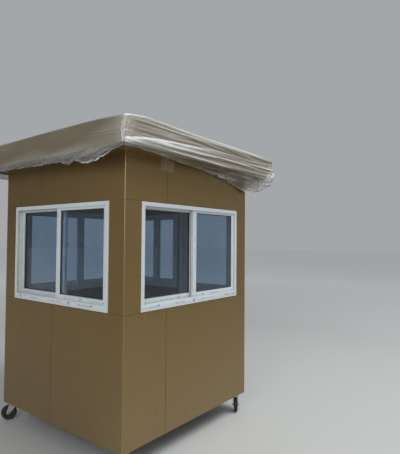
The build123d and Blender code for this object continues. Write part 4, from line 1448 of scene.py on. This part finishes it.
class BOOTH_OT_casters(BoothOperator):
    """Finish the casters, and add tyres, ribbed hubs, axle nuts, plate bolts and race seals"""

    bl_idname = "booth.casters"
    bl_label = "Casters"

    def execute(self, context):
        plated = ["caster_plates", *(f"caster_fork_{name}" for name in CASTERS)]
        dress(plated, "zinc plate")
        soften(plated, context.scene.booth_casters.soften)
        bolts, seals = Shape(), Shape()
        for name in CASTERS:
            self.wheel(name)
            self.nuts(name)
            self.plate(bolts, seals, name)
        bolts.piece("caster_bolts", "zinc plate", slot="zinc")
        seals.piece("caster_seals", "black rubber", slot="zinc")
        return {"FINISHED"}

    def axle(self, name):
        """Axes of a wheel: z along its axle, x ahead of it and the origin in its middle."""
        low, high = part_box(f"caster_wheel_{name}")
        wheel = (low + high) / 2
        kingpin = self.kingpin(name)
        ahead = Vector((wheel.x - kingpin.x, wheel.y - kingpin.y, 0)).normalized()
        across = Vector((-ahead.y, ahead.x, 0))
        columns = Matrix((ahead, Vector((0, 0, -1)), across)).transposed()
        return Matrix.Translation(wheel) @ columns.to_4x4()

    def kingpin(self, name):
        """The point on a caster's swivel axis at the lower face of its top plate."""
        half_length, half_width, thick = 0.05, 0.0425, 0.004
        low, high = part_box("caster_plates")
        end, side = name.split("_")
        x = low.x + half_length if side == "left" else high.x - half_length
        y = low.y + half_width if end == "front" else high.y - half_width
        return Vector((x, y, high.z - thick))

    def wheel(self, name):
        """A tyre with three grooves on a ribbed core, in the place of the plain wheel."""
        radius, half_tread, core, groove = 0.0625, 0.0135, 0.0445, 0.0022
        ribs = bpy.context.scene.booth_casters.ribs
        rib_low, rib_high = (0.0180, -0.0013, 0.0050), (0.0398, 0.0013, 0.0098)
        body = f"caster_wheel_{name}"
        axle = self.axle(name)
        wall = [
            (core, 0.0015 - half_tread), (core + 0.004, 0.0004 - half_tread),
            (radius - 0.006, -half_tread), (radius - 0.0022, 0.0016 - half_tread),
            (radius, 0.0042 - half_tread),
        ]
        crown = []
        for middle in (-0.0075, 0, 0.0075):
            crown += [
                (radius - 0.0002, middle - 0.0011), (radius - groove, middle - 0.0006),
                (radius - groove, middle + 0.0006), (radius - 0.0002, middle + 0.0011),
            ]
        tyre = Shape(axle)
        tyre.lathe(wall + crown + mirrored(wall) + wall[:1], (0, 0, 0), segments=72)
        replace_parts(tyre.piece(f"tyre_{name}", "wheel tread", body, "wheel"), body)
        flank = [
            (0.0051, 0.0180), (0.0105, 0.0180), (0.0110, 0.0172), (0.0150, 0.0168),
            (0.0170, 0.0150), (0.0182, 0.0080), (0.0195, 0.0062), (0.0385, 0.0055),
            (0.0400, 0.0105), (0.0412, 0.0118), (core, 0.0120),
        ]
        hub = Shape(axle)
        hub.lathe(flank + mirrored(flank) + flank[:1], (0, 0, 0), segments=64)
        for turn in range(ribs):
            hub.axes = axle @ Matrix.Rotation(2 * math.pi * turn / ribs, 4, "Z")
            for way in (-1, 1):
                low, high = sorted((rib_low[2] * way, rib_high[2] * way))
                hub.block((*rib_low[:2], low), (*rib_high[:2], high), 0.0008)
        hub.piece(f"wheel_core_{name}", "wheel core", body, "wheel")

    def nuts(self, name):
        """Washers and hexagon heads on the ends of the axle bolt."""
        fork_face, washer_thick, head_radius, head_height = 0.0225, 0.0013, 0.0094, 0.0052
        washer = ((0.0055, 0), (0.0112, 0), (0.0112, washer_thick), (0.0055, washer_thick), (0.0055, 0))
        tip = ((0, 0), (0.0050, 0), (0.0050, 0.0020), (0.0042, 0.0028), (0, 0.0028))
        head_foot = fork_face + washer_thick
        axle = self.axle(name)
        nuts = Shape()
        for way in (-1, 1):
            nuts.axes = axle @ Matrix.Diagonal((1, 1, way, 1))
            nuts.lathe(washer, (0, 0, fork_face), segments=28)
            hexagon(nuts, (0, 0, head_foot), head_radius, head_height)
            nuts.lathe(tip, (0, 0, head_foot + head_height), segments=20)
        nuts.piece(f"axle_nuts_{name}", "zinc plate", f"caster_fork_{name}", "zinc")

    def plate(self, bolts, seals, name):
        """The four bolts through a top plate and the seal round its race."""
        hole_x, hole_y, washer_thick, head_radius, head_height = 0.040, 0.0315, 0.0014, 0.0072, 0.0046
        washer = ((0, 0), (0.0085, 0), (0.0085, washer_thick), (0, washer_thick))
        seal = (
            (0.0262, -0.0072), (0.0276, -0.0072), (0.0286, -0.0045),
            (0.0276, -0.0015), (0.0262, -0.0015), (0.0262, -0.0072),
        )
        pin = self.kingpin(name)
        for x in (-hole_x, hole_x):
            for y in (-hole_y, hole_y):
                bolts.axes = Matrix.Translation(pin + Vector((x, y, 0))) @ Matrix.Diagonal((1, 1, -1, 1))
                bolts.lathe(washer, (0, 0, 0), segments=24)
                hexagon(bolts, (0, 0, washer_thick), head_radius, head_height)
        seals.axes = Matrix.Translation(pin)
        seals.lathe(seal, (0, 0, 0), segments=48)


def mirrored(profile):
    """A profile on the other side of the wheel's middle, in reverse order."""
    return [(radius, -height) for radius, height in reversed(profile)]


def hexagon(shape, centre, radius, height):
    """A chamfered hexagon head that stands on a point."""
    rings = []
    for across, up in ((radius, 0), (radius, height * 0.78), (radius * 0.86, height)):
        turns = [math.pi * i / 3 for i in range(6)]
        places = [Vector((across * math.cos(turn), across * math.sin(turn), up)) for turn in turns]
        rings.append([shape.point(*(Vector(centre) + place)) for place in places])
    for one, other in zip(rings, rings[1:]):
        shape.band(one, other)
    shape.mesh.faces.new(rings[-1])
    shape.mesh.faces.new(list(reversed(rings[0])))


def area_light(name, place, size, power, colour=(1, 1, 1)):
    """A soft square light that faces the booth's middle."""
    data = bpy.data.lights.new(name, "AREA")
    data.size = size
    data.energy = power
    data.color = colour
    light = add_object(name, data)
    light.location = place
    light.rotation_euler = (Vector(LAMPS_FACE) - Vector(place)).to_track_quat("-Z", "Y").to_euler()


def studio_floor(settings):
    """A plain floor that grows paler away from the lamps, so that its far end isn't dark."""
    near, far = 4.5, 13
    ground = Finish("studio floor")
    east, north = ground.axis(0), ground.axis(1)
    away = (east * east + north * north).math("SQRT")
    colour = ground.mix(settings.floor, settings.far_floor, away.above(near, far))
    return ground.surface(Base_Color=colour, Roughness=0.7)


def studio_light(settings):
    """Even light all round, dark beyond the back for what mirrors it but not for the camera."""
    dark_side, full_light, full_dark = (-0.174, 0.985, 0), 0.87, 0.985
    studio = Finish("studio", "worlds", "Background")
    direction = studio.node("TexCoord")
    facing = studio.node("VectorMath", {"operation": "DOT_PRODUCT"}, {0: direction, 1: dark_side}, output=1)
    seen_by_camera = studio.node("LightPath")
    light = 1 - facing.above(full_light, full_dark) * (1 - seen_by_camera)
    return studio.surface(Color=settings.backdrop, Strength=light * settings.ambient)


class BOOTH_OT_stage(BoothOperator):
    """Add the floor, the lights and the camera"""

    bl_idname = "booth.stage"
    bl_label = "Stage"

    def execute(self, context):
        settings = context.scene.booth_stage
        reach = settings.reach
        ground = Shape()
        corners = ((-reach, -reach), (reach, -reach), (reach, reach), (-reach, reach))
        ground.mesh.faces.new([ground.point(*corner, 0) for corner in corners])
        data = ground.data("studio_floor")
        data.materials.append(studio_floor(settings))
        add_object("studio_floor", data)
        context.scene.world = studio_light(settings)
        area_light("key", KEY_PLACE, settings.lamp, settings.key)
        area_light("fill", FILL_PLACE, settings.lamp, settings.key * settings.fill, settings.tint)
        lens = bpy.data.cameras.new("camera")
        lens.sensor_width = 36
        lens.lens = settings.lens
        camera = add_object("camera", lens)
        right, up = Vector(CAMERA_RIGHT), Vector(CAMERA_UP)
        axes = Matrix((right, up, right.cross(up))).transposed().to_4x4()
        camera.matrix_world = Matrix.Translation(CAMERA_PLACE) @ axes
        context.scene.camera = camera
        context.scene.view_settings.view_transform = "Standard"
        return {"FINISHED"}


class BOOTH_PT_panel(bpy.types.Panel):
    """Lists the booth's operators, in the order in which they are run"""

    bl_label = "Guard booth"
    bl_idname = "BOOTH_PT_panel"
    bl_space_type = "VIEW_3D"
    bl_region_type = "UI"
    bl_category = "Booth"

    def draw(self, context):
        for operator in OPERATORS:
            self.layout.operator(operator.bl_idname)


OPERATORS = (
    BOOTH_OT_cladding,
    BOOTH_OT_interior,
    BOOTH_OT_windows,
    BOOTH_OT_window_tape,
    BOOTH_OT_latches,
    BOOTH_OT_door,
    BOOTH_OT_roof,
    BOOTH_OT_film,
    BOOTH_OT_casters,
    BOOTH_OT_stage,
)
GROUPS = {
    "booth_colours": BoothColours,
    "booth_windows": WindowSizes,
    "booth_film": FilmSizes,
    "booth_casters": CasterSizes,
    "booth_stage": StageSettings,
}
CLASSES = (*GROUPS.values(), *OPERATORS, BOOTH_PT_panel)


def register():
    """Add the settings, the operators and the panel."""
    for kind in CLASSES:
        bpy.utils.register_class(kind)
    for name, group in GROUPS.items():
        setattr(bpy.types.Scene, name, PointerProperty(type=group))


def unregister():
    """Take them away again."""
    for name in GROUPS:
        delattr(bpy.types.Scene, name)
    for kind in reversed(CLASSES):
        bpy.utils.unregister_class(kind)


def main():
    """Run the operators in order."""
    register()
    for operator in OPERATORS:
        group, name = operator.bl_idname.split(".")
        getattr(getattr(bpy.ops, group), name)()


if __name__ == "__main__":
    main()
